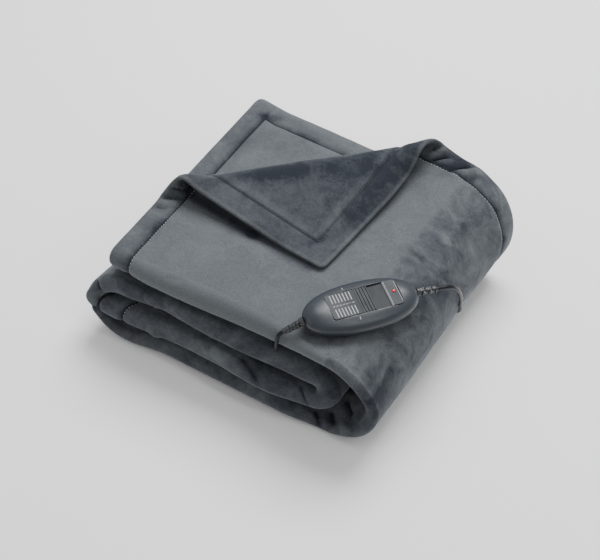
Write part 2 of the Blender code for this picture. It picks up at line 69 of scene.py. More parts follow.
# How much the front fold is pinched thin.  Columns: laps from the start of L1, share
PINCH = [(0.78, 0.0), (1.0, 0.62), (2.0, 0.62), (2.25, 0.0), (2.78, 0.0), (3.0, 0.60), (3.45, 0.60),
         (3.95, 0.15), (4.25, 0.05)]
BACK_HEM = {"L4": 0.155, "UL": 0.153, "L2": 0.158, "UI": 0.153, "L3": 0.153}
Q1_HEM = [(-0.168, 0.161), (-0.116, 0.154), (0.004, 0.152)]          # x, y in the top layer
TOP_HEM = [(-0.171, 0.189), (-0.046, 0.189), (0.064, 0.183), (0.134, 0.183)]
RIGHT_BEND = [(-0.167, 0.1275), (-0.047, 0.128), (0.053, 0.124), (0.173, 0.127)]     # y, x
LEFT_BEND = [(-0.177, -0.147), (-0.097, -0.138), (0.103, -0.136)]
INNER_BEND = 0.112
TOP_END = -0.168
INNER_END = [(-0.180, -0.177), (-0.160, -0.162), (-0.132, -0.146), (0.003, -0.138)]

# The turned corner: the line it is turned along, and the loop that the cloth makes over it
TURN_LEFT, TURN_RIGHT = Vector((-0.168, -0.077)), Vector((0.109, 0.176))
LOOP_LEFT, LOOP_RIGHT = 0.0148, 0.0165
SLOPE, SETTLE, FLAP_GAP = math.radians(13), 0.045, 0.0074
LOOP_CUTS = 14
FINE_CLOTH = 0.0034                  # longest edge of the mesh where it is creased
MERGE = 0.0003                       # points closer than this after the cuts become one
FULLEST = 1.1                        # the cloth's fullness where it is as thick as it gets

# How full the cloth is across its border.  Columns: share of the border from its edge, fullness
BORDER_ROWS = [(0.0, 0.30), (0.03, 0.62), (0.08, 0.90), (0.20, 1.06), (0.38, 1.16), (0.52, 1.18),
               (0.64, 1.12), (0.74, 0.98), (0.83, 0.78), (0.90, 0.54), (0.955, 0.32), (1.0, 0.14)]
# The same on the other side of the stitching.  Columns: metres from the stitching, fullness
BESIDE_ROWS = [(0.0010, 0.50), (0.0022, 0.82), (0.0042, 0.98), (0.0100, 1.02)]
# Laps.  Columns: name, steps, rough length, where a border joins it
LENGTH_LAPS = [("L1_hem", 0, 0.029, ""), ("L1", 54, 0.267, "start"), ("UO", 30, 0.166, ""),
               ("L4", 26, 0.268, ""), ("UL", 24, 0.111, ""), ("L2", 24, 0.252, ""),
               ("UI", 14, 0.055, ""), ("L3", 20, 0.229, "end"), ("L3_hem", 0, 0.029, "")]
WIDTH_LAPS = [("P1_hem", 0, 0.029, ""), ("P1", 62, 0.310, "start"), ("front", 18, 0.042, ""),
              ("P2", 14, 0.310, ""), ("back", 6, 0.014, ""), ("Q2", 12, 0.290, ""),
              ("inner", 6, 0.014, ""), ("Q1", 20, 0.270, "end"), ("Q1_hem", 0, 0.029, "")]
BLEND = 0.22


def smooth(value, low, high):
    """0 below low and 1 above high, softly in between."""
    t = min(max((value - low) / (high - low), 0.0), 1.0)
    return t * t * (3 - 2 * t)


def mix(a, b, t):
    return a + (b - a) * t


def along(rows, value):
    """Read a table of (place, size) rows at a place, softly from row to row."""
    if value <= rows[0][0]:
        return rows[0][1]
    for (x0, y0), (x1, y1) in zip(rows, rows[1:]):
        if value <= x1:
            return mix(y0, y1, smooth(value, x0, x1))
    return rows[-1][1]


def lump(value, centre, reach):
    """A soft bump: 1 at its centre, and gone past twice its reach."""
    return math.exp(-((value - centre) / reach) ** 2)


def stations(laps):
    """Rows of a lap's name, the share of it, and the cloth's fullness there."""
    rows = []
    for name, steps, length, border in laps:
        if name.endswith("_hem"):
            shares = list(BORDER_ROWS)
            if rows:
                shares = [(1 - share, full) for share, full in reversed(BORDER_ROWS)]
        else:
            beside = [(metres / length, full) for metres, full in BESIDE_ROWS]
            first = BESIDE_ROWS[-1][0] / length * 1.3
            low = first if border == "start" else 0.0
            high = 1 - first if border == "end" else 1.0
            shares = [(mix(low, high, step / steps), 1.0) for step in range(steps + 1)]
            if border == "start":
                shares = beside + shares
            if border == "end":
                shares += [(1 - share, full) for share, full in reversed(beside)]
                shares.append((1.0, BORDER_ROWS[-1][1]))
        if rows and shares[0][0] == 0.0:
            shares = shares[1:]
        rows += [(name, share, full) for share, full in shares]
    return rows


def lap_sizes(lap, f):
    """Where the edges lie at a share of a lap, softly from lap to lap."""
    names = list(EDGES)
    here = EDGES[lap]
    if lap.startswith("U"):
        return here
    i = names.index(lap)
    before = EDGES[names[max(i - 1, 0)]] if i else here
    after = EDGES[names[i + 1]] if i + 1 < len(names) else here
    start, end = smooth(f, 0.0, BLEND), smooth(f, 1.0 - BLEND, 1.0)
    return [mix(mix(b, h, start), a, end) for b, h, a in zip(before, here, after)]


def across(sheet, g, sizes):
    """Where a sheet lies across the stack: y, and its height n above its layer's middle."""
    front, back, p1_hem, q1_hem, drawn, pinch = sizes
    nose = SHELL * (1 - pinch)
    rise = SHELL - nose
    nose_y = front + nose + CLOTH / 2
    inner_y = front + drawn
    half = PITCH / 2
    if sheet == "P1_hem":
        return p1_hem - BORDER * g, SHELL
    if sheet == "P1":
        return mix(p1_hem - BORDER, nose_y, g), SHELL
    if sheet == "front":
        return nose_y - nose * math.sin(math.pi * g), rise + nose * math.cos(math.pi * g)
    if sheet == "P2":
        y = mix(nose_y, back, g ** 1.7)
        return y, mix(rise - nose, -SHELL, smooth(y, nose_y, inner_y - 0.006))
    if sheet == "back":
        return back + half * math.sin(math.pi * g), -PITCH - half * math.cos(math.pi * g)
    if sheet == "Q2":
        return mix(back, inner_y, g), -half
    if sheet == "inner":
        return inner_y - half * math.sin(math.pi * g), -half * math.cos(math.pi * g)
    if sheet == "Q1":
        return mix(inner_y, q1_hem - BORDER, g), half
    return q1_hem - BORDER * (1 - g), half


def folded(lap, f, sheet, g):
    """A point of the cloth in the folded stack, before the top corner is turned over."""
    top_long, inner_long = RIGHT_BEND[-1][1] - TOP_END, INNER_BEND - INNER_END[-1][1]
    if lap == "L1_hem":
        lap, f = "L1", f * BORDER / top_long
    elif lap == "L1":
        f = mix(BORDER / top_long, 1.0, f)
    elif lap == "L3":
        f *= 1 - BORDER / inner_long
    elif lap == "L3_hem":
        lap, f = "L3", 1 - (1 - f) * BORDER / inner_long
    front, back, q1_hem, drawn = lap_sizes(lap, f)
    pinch = along(PINCH, list(EDGES).index(lap) + f)
    if lap in BACK_HEM:
        p1_hem = BACK_HEM[lap]
    elif lap == "L1":
        x = mix(TOP_END, RIGHT_BEND[-1][1], f)
        p1_hem, q1_hem = along(TOP_HEM, x), along(Q1_HEM, x)
    else:
        p1_hem = mix(TOP_HEM[-1][1], BACK_HEM["L4"], smooth(f, 0.0, 1.0))
    y, n = across(sheet, g, (front, back, p1_hem, q1_hem, drawn, pinch))
    right, left = along(RIGHT_BEND, y), along(LEFT_BEND, y)
    low, middle, high = FLOOR_LAYER, FLOOR_LAYER + 1.5 * LAYER, FLOOR_LAYER + 3 * LAYER
    turn = math.pi * f
    if lap == "L1":
        return Vector((mix(TOP_END, right, f), y, high + n))
    if lap == "UO":
        reach = 1.5 * LAYER + n
        return Vector((right + reach * math.sin(turn), y, middle + reach * math.cos(turn)))
    if lap == "L4":
        return Vector((mix(right, left, f), y, low - n))
    if lap == "UL":
        reach = LAYER + n
        return Vector((left - reach * math.sin(turn), y, low + LAYER - reach * math.cos(turn)))
    if lap == "L2":
        return Vector((mix(left, INNER_BEND, f), y, low + 2 * LAYER + n))
    if lap == "UI":
        reach = LAYER / 2 + n
        return Vector((INNER_BEND + reach * math.sin(turn), y, middle + reach * math.cos(turn)))
    return Vector((mix(INNER_BEND, along(INNER_END, y), f), y, low + LAYER - n))


def from_corner(row, column):
    """In a corner of the border: how far it is to the cloth's end, and to its side."""
    from_end = row[1] if row[0] == "L1_hem" else 1 - row[1]
    from_side = column[1] if column[0] == "P1_hem" else 1 - column[1]
    return from_end * BORDER, from_side * BORDER


def cut_round(row, column):
    """Round the cloth's four corners: move a station pair near a corner onto a quarter circle."""
    lap, f, _ = row
    sheet, g, _ = column
    if lap.endswith("_hem") and sheet.endswith("_hem"):
        from_end, from_side = from_corner(row, column)
        if from_end < CORNER and from_side < CORNER:
            a, b = CORNER - from_end, CORNER - from_side
            shrink = max(a, b) / math.hypot(a, b)
            f_new, g_new = (CORNER - a * shrink) / BORDER, (CORNER - b * shrink) / BORDER
            f = f_new if lap == "L1_hem" else 1 - f_new
            g = g_new if sheet == "P1_hem" else 1 - g_new
    return lap, f, sheet, g


def fullness_at(row, column):
    """The cloth's fullness where a row crosses a column; the border's profile turns the corners."""
    if row[0].endswith("_hem") and column[0].endswith("_hem"):
        from_end, from_side = from_corner(row, column)
        return row[2] if from_end < from_side else column[2]
    if row[0].endswith("_hem"):
        return row[2]
    if column[0].endswith("_hem"):
        return column[2]
    return min(row[2], column[2])


def loop_profile(s, radius):
    """Out and up from the turn line, for a length s of cloth: distance behind the line, height."""
    arc = radius * (math.pi + SLOPE)
    if s <= 0:
        return s, 0.0
    if s <= arc:
        return radius * math.sin(s / radius), radius * (1 - math.cos(s / radius))
    out, up = -radius * math.sin(SLOPE), radius * (1 + math.cos(SLOPE))
    s -= arc
    settle_drop = SETTLE * (1 - math.cos(SLOPE))
    run = max((up - settle_drop - FLAP_GAP) / math.sin(SLOPE), 0.0)
    if s <= run:
        return out - s * math.cos(SLOPE), up - s * math.sin(SLOPE)
    out, up = out - run * math.cos(SLOPE), up - run * math.sin(SLOPE)
    s -= run
    if s <= SETTLE * SLOPE:
        a = SLOPE - s / SETTLE
        return (out - SETTLE * (math.sin(SLOPE) - math.sin(a)),
                up - SETTLE * (math.cos(a) - math.cos(SLOPE)))
    return out - SETTLE * math.sin(SLOPE) - (s - SETTLE * SLOPE), up - settle_drop


turn_line = (TURN_RIGHT - TURN_LEFT).normalized()
turn_behind = Vector((-turn_line.y, turn_line.x))
turn_span = (TURN_RIGHT - TURN_LEFT).length


def turned_corner(point):
    """A point of the top sheet once its corner is turned over."""
    flat = Vector((point.x, point.y)) - TURN_LEFT
    a, s = flat.dot(turn_line), flat.dot(turn_behind)
    if s <= 0:
        return point
    out, up = loop_profile(s, mix(LOOP_LEFT, LOOP_RIGHT, a / turn_span))
    place = TURN_LEFT + turn_line * a + turn_behind * out
    return Vector((place.x, place.y, point.z + up))


CONTROL_AT = Vector((0.1295, -0.0927, TOP + 0.0012))


def settled(point):
    """The soft unevenness of the whole stack."""
    x, y, z = point
    above = smooth(z, 0.012, 0.05)
    by_control = lump(x, CONTROL_AT.x, 0.07) * lump(y, CONTROL_AT.y, 0.07)
    # the back left corner sinks, and the back rises beside the turned corner's right end
    dz = -0.007 * smooth(y, 0.145, 0.178) * smooth(z, 0.105, 0.13) * (1 - smooth(x, -0.046, 0.054))
    dz += 0.009 * smooth(y, 0.083, 0.173) * lump(x, 0.089, 0.055) * smooth(z, 0.128, 0.136)
    # slow waves, but for where the control lies
    dz += 0.0022 * above * (1 - by_control) * math.sin(9 * x + 0.96) * math.cos(8 * y)
    # a swelling on the right bend, one on the turned corner, and a dip and a rise by its right end
    dz += 0.0045 * above * lump(x, 0.176, 0.028) * lump(y, -0.037, 0.035)
    dz += 0.0078 * lump(x, -0.148, 0.018) * lump(y, -0.034, 0.028) * smooth(z, 0.148, 0.162)
    dz -= 0.0025 * lump(x, 0.104, 0.014) * lump(y, 0.188, 0.020) * smooth(z, 0.140, 0.152)
    dz += 0.0035 * lump(x, 0.074, 0.013) * lump(y, 0.182, 0.025) * smooth(z, 0.140, 0.152)
    # the front folds wander a little
    front = 1 - smooth(y, -0.167, -0.077)
    dy = 0.003 * front * above * math.sin(23 * x - 0.09 + 60 * z)
    return Vector((x, y + dy, z + dz))


# Creases and tucks.  Columns: one end, other end, half width, height (below zero for a dent), way
UP, FRONT = Vector((0, 0, 1)), Vector((0.1, -0.9, 0.4))
LEFT, RIGHT = Vector((-0.5, -0.6, 0.6)), Vector((0.4, -0.5, 0.75))
ONE_SHEET = 0.0068                   # how far through the cloth a crease works
CREASES = [
    # gathered under the left end of the turned corner
    ((-0.151, -0.047, 0.1605), (-0.134, -0.035, 0.1420), 0.0036, -0.0048, LEFT),
    ((-0.156, -0.049, 0.1530), (-0.140, -0.038, 0.1480), 0.0030, 0.0030, LEFT),
    ((-0.158, -0.052, 0.1480), (-0.136, -0.036, 0.1410), 0.0028, -0.0042, LEFT),
    ((-0.167, -0.066, 0.1380), (-0.138, -0.045, 0.1385), 0.0034, -0.0036, UP),
    ((-0.166, -0.073, 0.1375), (-0.137, -0.055, 0.1375), 0.0034, 0.0030, UP),
    ((-0.164, -0.077, 0.1370), (-0.147, -0.074, 0.1375), 0.0034, -0.0018, UP),
    # gathered under its right end, across the border
    ((0.066, 0.138, 0.150), (0.088, 0.172, 0.158), 0.0050, -0.0030, RIGHT),
    ((0.076, 0.152, 0.148), (0.094, 0.178, 0.156), 0.0030, 0.0040, RIGHT),
    ((0.082, 0.156, 0.147), (0.100, 0.173, 0.148), 0.0026, -0.0038, RIGHT),
    ((0.086, 0.152, 0.146), (0.106, 0.170, 0.146), 0.0030, 0.0030, RIGHT),
    ((0.104, 0.152, 0.145), (0.131, 0.180, 0.142), 0.0034, -0.0046, RIGHT),
    ((0.113, 0.148, 0.144), (0.142, 0.178, 0.138), 0.0040, 0.0036, RIGHT),
    ((0.126, 0.156, 0.141), (0.144, 0.160, 0.136), 0.0070, -0.0022, RIGHT),
    # dents and folds along the front
    ((0.014, -0.170, 0.072), (0.050, -0.182, 0.056), 0.0042, -0.0060, FRONT),
    ((-0.030, -0.176, 0.070), (0.008, -0.178, 0.062), 0.0100, 0.0030, FRONT),
    ((0.094, -0.166, 0.068), (0.113, -0.178, 0.046), 0.0034, -0.0050, FRONT),
    ((0.111, -0.158, 0.0215), (0.126, -0.170, 0.0070), 0.0040, -0.0062, FRONT),
    ((0.126, -0.148, 0.0210), (0.142, -0.165, 0.0150), 0.0042, -0.0066, FRONT),
    ((0.136, -0.131, 0.0320), (0.157, -0.153, 0.0290), 0.0042, -0.0066, FRONT),
    ((0.148, -0.157, 0.0230), (0.160, -0.169, 0.0180), 0.0036, 0.0034, FRONT),
    ((-0.116, -0.172, 0.098), (-0.094, -0.172, 0.084), 0.0034, 0.0034, FRONT),
    ((-0.108, -0.178, 0.056), (-0.094, -0.174, 0.032), 0.0040, 0.0026, FRONT),
    # where the outer lap bends at the left
    ((-0.198, -0.168, 0.0440), (-0.182, -0.183, 0.0390), 0.0036, -0.0042, LEFT),
    ((-0.197, -0.168, 0.0560), (-0.182, -0.183, 0.0540), 0.0052, 0.0022, LEFT),
    ((-0.188, -0.168, 0.0820), (-0.172, -0.182, 0.0740), 0.0032, -0.0046, LEFT),
    # a faint mark on the top sheet
    ((-0.094, -0.162, 0.134), (-0.066, -0.156, 0.137), 0.0034, -0.0010, UP),
]


def nearest(place, start, end):
    """The share along a line where it is nearest to a place, and the way from there to the place."""
    start, way = Vector(start), Vector(end) - Vector(start)
    t = min(max((place - start).dot(way) / way.length_squared, 0.0), 1.0)
    return t, place - start - way * t


def by_a_crease(place):
    """Whether the cloth has to be finer here, because a crease runs near."""
    return any((place - (Vector(start) + Vector(end)) / 2).length
               < (Vector(start) - Vector(end)).length / 2 + 2.2 * half_width + 0.004
               for start, end, half_width, _, _ in CREASES)


def creased(place, normal):
    """How far the creases lift the cloth here, and the way they lift it."""
    total, lifted = Vector(), 0.0
    for start, end, half_width, height, way in CREASES:
        t, apart = nearest(place, start, end)
        through = apart.dot(normal)
        if abs(through) > ONE_SHEET or apart.length > ONE_SHEET + 3 * half_width:
            continue
        ends = smooth(t, -0.05, 0.30) * (1 - smooth(t, 0.72, 1.05))
        here = height * ends * math.exp(-(apart - normal * through).length_squared / half_width ** 2)
        total += normal * math.copysign(here, here * normal.dot(way))
        lifted += here
    return total, lifted


def seams_from(flat_long, flat_wide):
    """For each of the four seams, how far a place is inside it and how far along it."""
    return ((flat_long - BORDER_AT[0], flat_wide), (BORDER_AT[1] - flat_long, flat_wide),
            (flat_wide - BORDER_AT[2], flat_long), (BORDER_AT[3] - flat_wide, flat_long))


def border_pucker(flat_long, flat_wide):
    """Small cross wrinkles that the stitching draws in the border."""
    total = 0.0
    for inside, running in seams_from(flat_long, flat_wide):
        wrinkle = noise.noise((running * 75, inside * 20, 0)) + 0.5 * noise.noise((running * 180, 0, 3))
        total += lump(inside, -0.006, 0.011) * wrinkle
    return 0.0011 * total


length_rows, width_rows = stations(LENGTH_LAPS), stations(WIDTH_LAPS)
columns, rows = len(length_rows) - 1, len(width_rows) - 1
# how far along the flat cloth each station is
reach_long, reach_wide = [0.0], [0.0]
for row, following in zip(length_rows, length_rows[1:]):
    step = folded(*following[:2], "P2", 0.5) - folded(*row[:2], "P2", 0.5)
    reach_long.append(reach_long[-1] + step.length)
for column, following in zip(width_rows, width_rows[1:]):
    step = folded("L1", 0.5, *following[:2]) - folded("L1", 0.5, *column[:2])
    reach_wide.append(reach_wide[-1] + step.length)
CUT_LONG = reach_long[-1]
# where the border's stitching lies on the flat cloth: first and last along it, first and last across
first_row, last_row = len(BORDER_ROWS) - 1, columns - len(BORDER_ROWS) + 1
BORDER_AT = (reach_long[first_row], reach_long[last_row],
             reach_wide[first_row], reach_wide[rows - len(BORDER_ROWS) + 1])

# Where the pile is painted darker or lighter: painted shade and shadow by the gathers, the turned corner, the
# control and the right bend, a painted highlight on one fold, other patches darker or lighter.  Columns: one
# end, other end, reach, change
PILE_AND_SHADE_MARKS = [
    # painted shade in the gathers under the turned corner, a painted highlight on one fold, and painted
    # shadow where the corner lies on the sheet below
    ((0.112, 0.178, 0.145), (0.088, 0.160, 0.149), 0.013, -0.50),
    ((0.060, 0.122, 0.143), (0.074, 0.136, 0.143), 0.011, -0.40),
    ((-0.148, -0.044, 0.150), (-0.138, -0.036, 0.142), 0.010, -0.35),
    ((-0.134, -0.040, 0.138), (-0.040, -0.056, 0.138), 0.0080, -0.85),
    ((-0.040, -0.056, 0.138), (0.045, -0.066, 0.139), 0.0055, -0.75),
    ((0.102, 0.158, 0.146), (0.120, 0.170, 0.144), 0.009, -0.35),
    ((-0.158, -0.050, 0.153), (-0.152, -0.052, 0.152), 0.006, 0.60),
    ((-0.164, -0.078, 0.137), (-0.150, -0.068, 0.137), 0.007, -0.35),
    ((0.102, 0.142, 0.144), (0.116, 0.154, 0.144), 0.006, -0.30),
    # painted shadow below the control, and a darker patch beside it
    ((0.094, -0.154, 0.1385), (0.120, -0.147, 0.1375), 0.0050, -0.35),
    ((0.136, -0.136, 0.1370), (0.170, -0.084, 0.1240), 0.0050, -0.35),
    ((0.176, -0.108, 0.118), (0.184, -0.116, 0.108), 0.014, -0.28),
    # on the turned corner
    ((0.026, -0.038, 0.150), (0.038, -0.022, 0.150), 0.011, -0.25),
    ((0.052, 0.008, 0.153), (0.054, 0.030, 0.156), 0.018, -0.18),
    ((0.052, 0.074, 0.165), (0.050, 0.086, 0.166), 0.016, -0.12),
    ((-0.106, -0.017, 0.168), (-0.030, 0.040, 0.170), 0.009, -0.30),
    ((0.020, 0.060, 0.168), (0.050, 0.100, 0.166), 0.012, -0.15),
    # along the left border: painted shade by its seam and round onto the back border, and a broad darker
    # patch
    ((-0.163, -0.074, 0.137), (-0.146, -0.081, 0.137), 0.006, -0.20),
    ((-0.143, -0.104, 0.137), (-0.146, -0.134, 0.137), 0.008, -0.35),
    ((-0.134, 0.040, 0.129), (-0.136, 0.082, 0.129), 0.007, -0.30),
    ((-0.146, 0.130, 0.128), (-0.124, 0.136, 0.128), 0.0055, -0.60),
    ((-0.084, 0.128, 0.129), (-0.066, 0.127, 0.129), 0.0060, -0.30),
    ((-0.128, 0.142, 0.128), (-0.030, 0.132, 0.129), 0.0060, -0.20),
    ((-0.158, 0.088, 0.128), (-0.080, 0.108, 0.129), 0.020, -0.17),
    # by the right bend: painted shade, with two lighter patches
    ((0.134, 0.129, 0.138), (0.138, 0.134, 0.138), 0.012, 0.20),
    ((0.158, 0.090, 0.128), (0.158, 0.106, 0.128), 0.012, -0.22),
    ((0.146, 0.028, 0.134), (0.156, 0.042, 0.130), 0.018, -0.32),
    ((0.180, 0.012, 0.110), (0.172, -0.022, 0.120), 0.018, -0.45),
    ((0.187, -0.068, 0.105), (0.187, -0.074, 0.105), 0.016, -0.22),
    ((0.192, -0.150, 0.070), (0.182, -0.154, 0.100), 0.018, -0.60),
    ((0.156, -0.114, 0.130), (0.160, -0.120, 0.130), 0.018, 0.22),
    # along the front
    ((-0.056, -0.1785, 0.057), (-0.022, -0.1790, 0.054), 0.013, 0.24),
    ((0.136, -0.167, 0.074), (0.140, -0.167, 0.072), 0.012, -0.30),
    ((0.168, -0.140, 0.124), (0.174, -0.144, 0.120), 0.012, -0.25),
    ((0.138, -0.170, 0.127), (0.142, -0.170, 0.127), 0.018, 0.30),
    ((0.141, -0.124, 0.034), (0.141, -0.130, 0.034), 0.020, 0.28),
    ((-0.134, -0.179, 0.011), (-0.128, -0.179, 0.011), 0.020, 0.25),
    ((-0.074, -0.172, 0.066), (-0.068, -0.172, 0.066), 0.022, 0.22),
]


def lay_of_pile(row, column, place):
    """How light the pile is painted here, with painted light and shade on the folds and bends, and how much
    it is marked by strokes of the hand.
    """
    lap, f, sheet = row[0], row[1], column[0]
    top, folds_in = lap in ("L1_hem", "L1"), sheet in ("P2", "inner")
    if top and sheet == "front":         # painted highlight on the fold along the front
        return (0.62, 0.34) if lap == "L1_hem" else (1.10, 0.14)
    if top and folds_in:
        return 0.60, 0.30
    if lap == "L1_hem":
        return 0.74, 0.34
    if top:                              # smooth on the flat, with painted shade and strokes where it bends down at the right
        bend = smooth(place.x + 0.45 * max(-place.y, 0.0) - 0.10 * max(place.y, 0.0), 0.140, 0.188)
        return mix(0.89, 0.73, bend) - 0.26 * (sheet == "P1_hem") * (1 - bend), mix(0.16, 0.62, bend)
    if folds_in or sheet == "front":     # painted shade on the lower folds along the front
        return 0.43, 0.42
    if lap == "UO":                      # painted shade down the right side
        return mix(0.76, 0.60, smooth(f, 0.10, 0.55)), 0.60
    return 0.75, 0.30


def each_once(items):
    """A list of what comes, without repeats, in the same order on every run."""
    return list(dict.fromkeys(items))


def station(vert):
    """Which row and column of the flat grid a point belongs to."""
    return round((vert.co.x + 0.5) * columns), round((vert.co.y + 0.5) * rows)


# A flat grid, laid into the folds.  Each point keeps where it is on the flat cloth, and its pile's tone with
# painted light and shade.
bm = bmesh.new()
bmesh.ops.create_grid(bm, x_segments=columns, y_segments=rows, size=0.5)
on_top = bm.faces.layers.int.new("on_top")
full_layer = bm.verts.layers.float.new("fullness")
pile_and_shade_layer = bm.verts.layers.float.new("pile_and_shade")
stroke_layer = bm.verts.layers.float.new("stroked")
long_layer, wide_layer = bm.verts.layers.float.new("flat_long"), bm.verts.layers.float.new("flat_wide")
cloth_uv = bm.loops.layers.uv.new("cloth")
for face in bm.faces:
    corners = [station(vert) for vert in face.verts]
    face[on_top] = int(all(length_rows[i][0] in ("L1_hem", "L1") and width_rows[j][0] in ("P1_hem", "P1")
                           for i, j in corners))
    for loop in face.loops:
        i, j = station(loop.vert)
        loop[cloth_uv].uv = (reach_long[i] / CUT_LONG, reach_wide[j] / CUT_LONG)
for vert in bm.verts:
    i, j = station(vert)
    row, column = length_rows[i], width_rows[j]
    vert[full_layer] = fullness_at(row, column)
    vert[long_layer], vert[wide_layer] = reach_long[i], reach_wide[j]
    vert.co = folded(*cut_round(row, column))
    vert[pile_and_shade_layer], vert[stroke_layer] = lay_of_pile(row, column, vert.co)
# Cuts for the turned corner's bend, which widens from its apex
apex = TURN_LEFT - turn_line * (turn_span * LOOP_LEFT / (LOOP_RIGHT - LOOP_LEFT))
for cut in range(LOOP_CUTS + 1):
    lift = LOOP_RIGHT * (math.pi + SLOPE) * cut / LOOP_CUTS
    ray = (turn_line * (TURN_RIGHT - apex).length + turn_behind * lift).normalized()
    faces = [face for face in bm.faces if face[on_top]]
    edges = each_once(edge for face in faces for edge in face.edges)
    verts = each_once(vert for face in faces for vert in face.verts)
    bmesh.ops.bisect_plane(bm, geom=verts + edges + faces, dist=1e-5,
                           plane_co=(apex.x, apex.y, 0), plane_no=(-ray.y, ray.x, 0))
# The pile is pressed dark along the stitching, with painted shade in the groove it draws
for vert in bm.verts:
    outside = max(-inside for inside, _ in seams_from(vert[long_layer], vert[wide_layer]))
    if outside > -0.0005:
        beside, within = smooth(outside, 0.001, 0.0085), smooth(outside, 0.0002, 0.0022)
        vert[pile_and_shade_layer] -= 0.35 * (1 - beside) + 0.55 * (1 - within)
# Turn the corner over.  Its pile shows darker, the more so to the right, with a painted highlight on its
# rounded rim, paler inside its seam and painted shade under its ridge, and its tip droops.
top_verts = each_once(vert for face in bm.faces if face[on_top] for vert in face.verts)
bmesh.ops.remove_doubles(bm, verts=sorted(top_verts, key=lambda vert: tuple(vert.co)), dist=MERGE)
for vert in each_once(vert for face in bm.faces if face[on_top] for vert in face.verts):
    behind = (Vector((vert.co.x, vert.co.y)) - TURN_LEFT).dot(turn_behind)
    turned_over = smooth(behind, 0.012, 0.04)
    vert[pile_and_shade_layer] = mix(vert[pile_and_shade_layer], mix(0.37, 0.16, smooth(vert.co.x, -0.13, -0.01)), turned_over)
    vert[stroke_layer] = mix(vert[stroke_layer], 0.30, turned_over)
    from_edge = min(vert[long_layer], vert[wide_layer])
    vert[pile_and_shade_layer] += 0.40 * turned_over * (1 - smooth(from_edge, 0.0015, 0.0060))
    inside = min(vert[long_layer] - BORDER_AT[0], vert[wide_layer] - BORDER_AT[2])
    vert[pile_and_shade_layer] += 0.30 * turned_over * lump(inside, 0.006, 0.005) - 0.16 * lump(behind, 0.052, 0.016)
    vert.co = turned_corner(vert.co)
    hanging = vert.co.z - (TOP - CLOTH / 2) - FLAP_GAP
    if hanging > 0:
        drooping = smooth(behind, 0.050, 0.075) * (1 - smooth(from_edge, 0.0, 0.024))
        vert.co.z -= 0.55 * hanging * (drooping * smooth(vert.co.x, -0.02, 0.06))
for vert in bm.verts:
    vert.co = settled(vert.co)
for halving in range(2):
    coarse = [edge for edge in bm.edges if edge.calc_length() > FINE_CLOTH
              and by_a_crease((edge.verts[0].co + edge.verts[1].co) / 2)]
    bmesh.ops.subdivide_edges(bm, edges=coarse, cuts=1, use_grid_fill=True)
bmesh.ops.recalc_face_normals(bm, faces=bm.faces[:])
bm.normal_update()
if sum(face.normal.z for face in bm.faces if face[on_top] and face.calc_center_median().y < -0.1) < 0:
    bmesh.ops.reverse_faces(bm, faces=bm.faces[:])
bm.normal_update()
# Swellings, the border's puckers and the creases lift the cloth, worked out before any point moves
moves = []
for vert in bm.verts:
    place = vert.co
    swell = 0.0010 * noise.noise(place * 16) + 0.0005 * noise.noise(place * 45)
    swell += border_pucker(vert[long_layer], vert[wide_layer])
    move, lifted = creased(place, vert.normal)
    # the creases' dents get painted shade and their ridges a painted highlight
    vert[pile_and_shade_layer] += min(max(130 * lifted, -0.50), 0.25)
    # painted shade, shadow and highlight marks, and darker or lighter patches
    for start, end, reach, change in PILE_AND_SHADE_MARKS:
        vert[pile_and_shade_layer] += change * lump(nearest(place, start, end)[1].length, 0.0, reach)
    moves.append(vert.normal * swell + move)
for vert, move in zip(bm.verts, moves):
    lowest = CLOTH * vert[full_layer] / 2 * abs(vert.normal.z) + 0.0001
    vert.co += move * smooth(vert.co.z, 0.004, 0.02)
    vert.co.z = max(vert.co.z, lowest)
throw_mesh = bpy.data.meshes.new("plush_throw")
bm.to_mesh(throw_mesh)
bm.free()
throw_mesh.shade_smooth()


def in_scene(name, data):
    """A new object, linked to the scene."""
    made = bpy.data.objects.new(name, data)
    bpy.context.scene.collection.objects.link(made)
    return made


throw = in_scene("plush_throw", throw_mesh)
fullness = throw.vertex_groups.new(name="fullness")
for i, value in enumerate(throw_mesh.attributes["fullness"].data):
    fullness.add([i], min(value.value / FULLEST, 1.0), "REPLACE")
thick = throw.modifiers.new("thickness", "SOLIDIFY")
thick.thickness = CLOTH * FULLEST
thick.offset = 0
thick.use_even_offset = True
thick.vertex_group = "fullness"


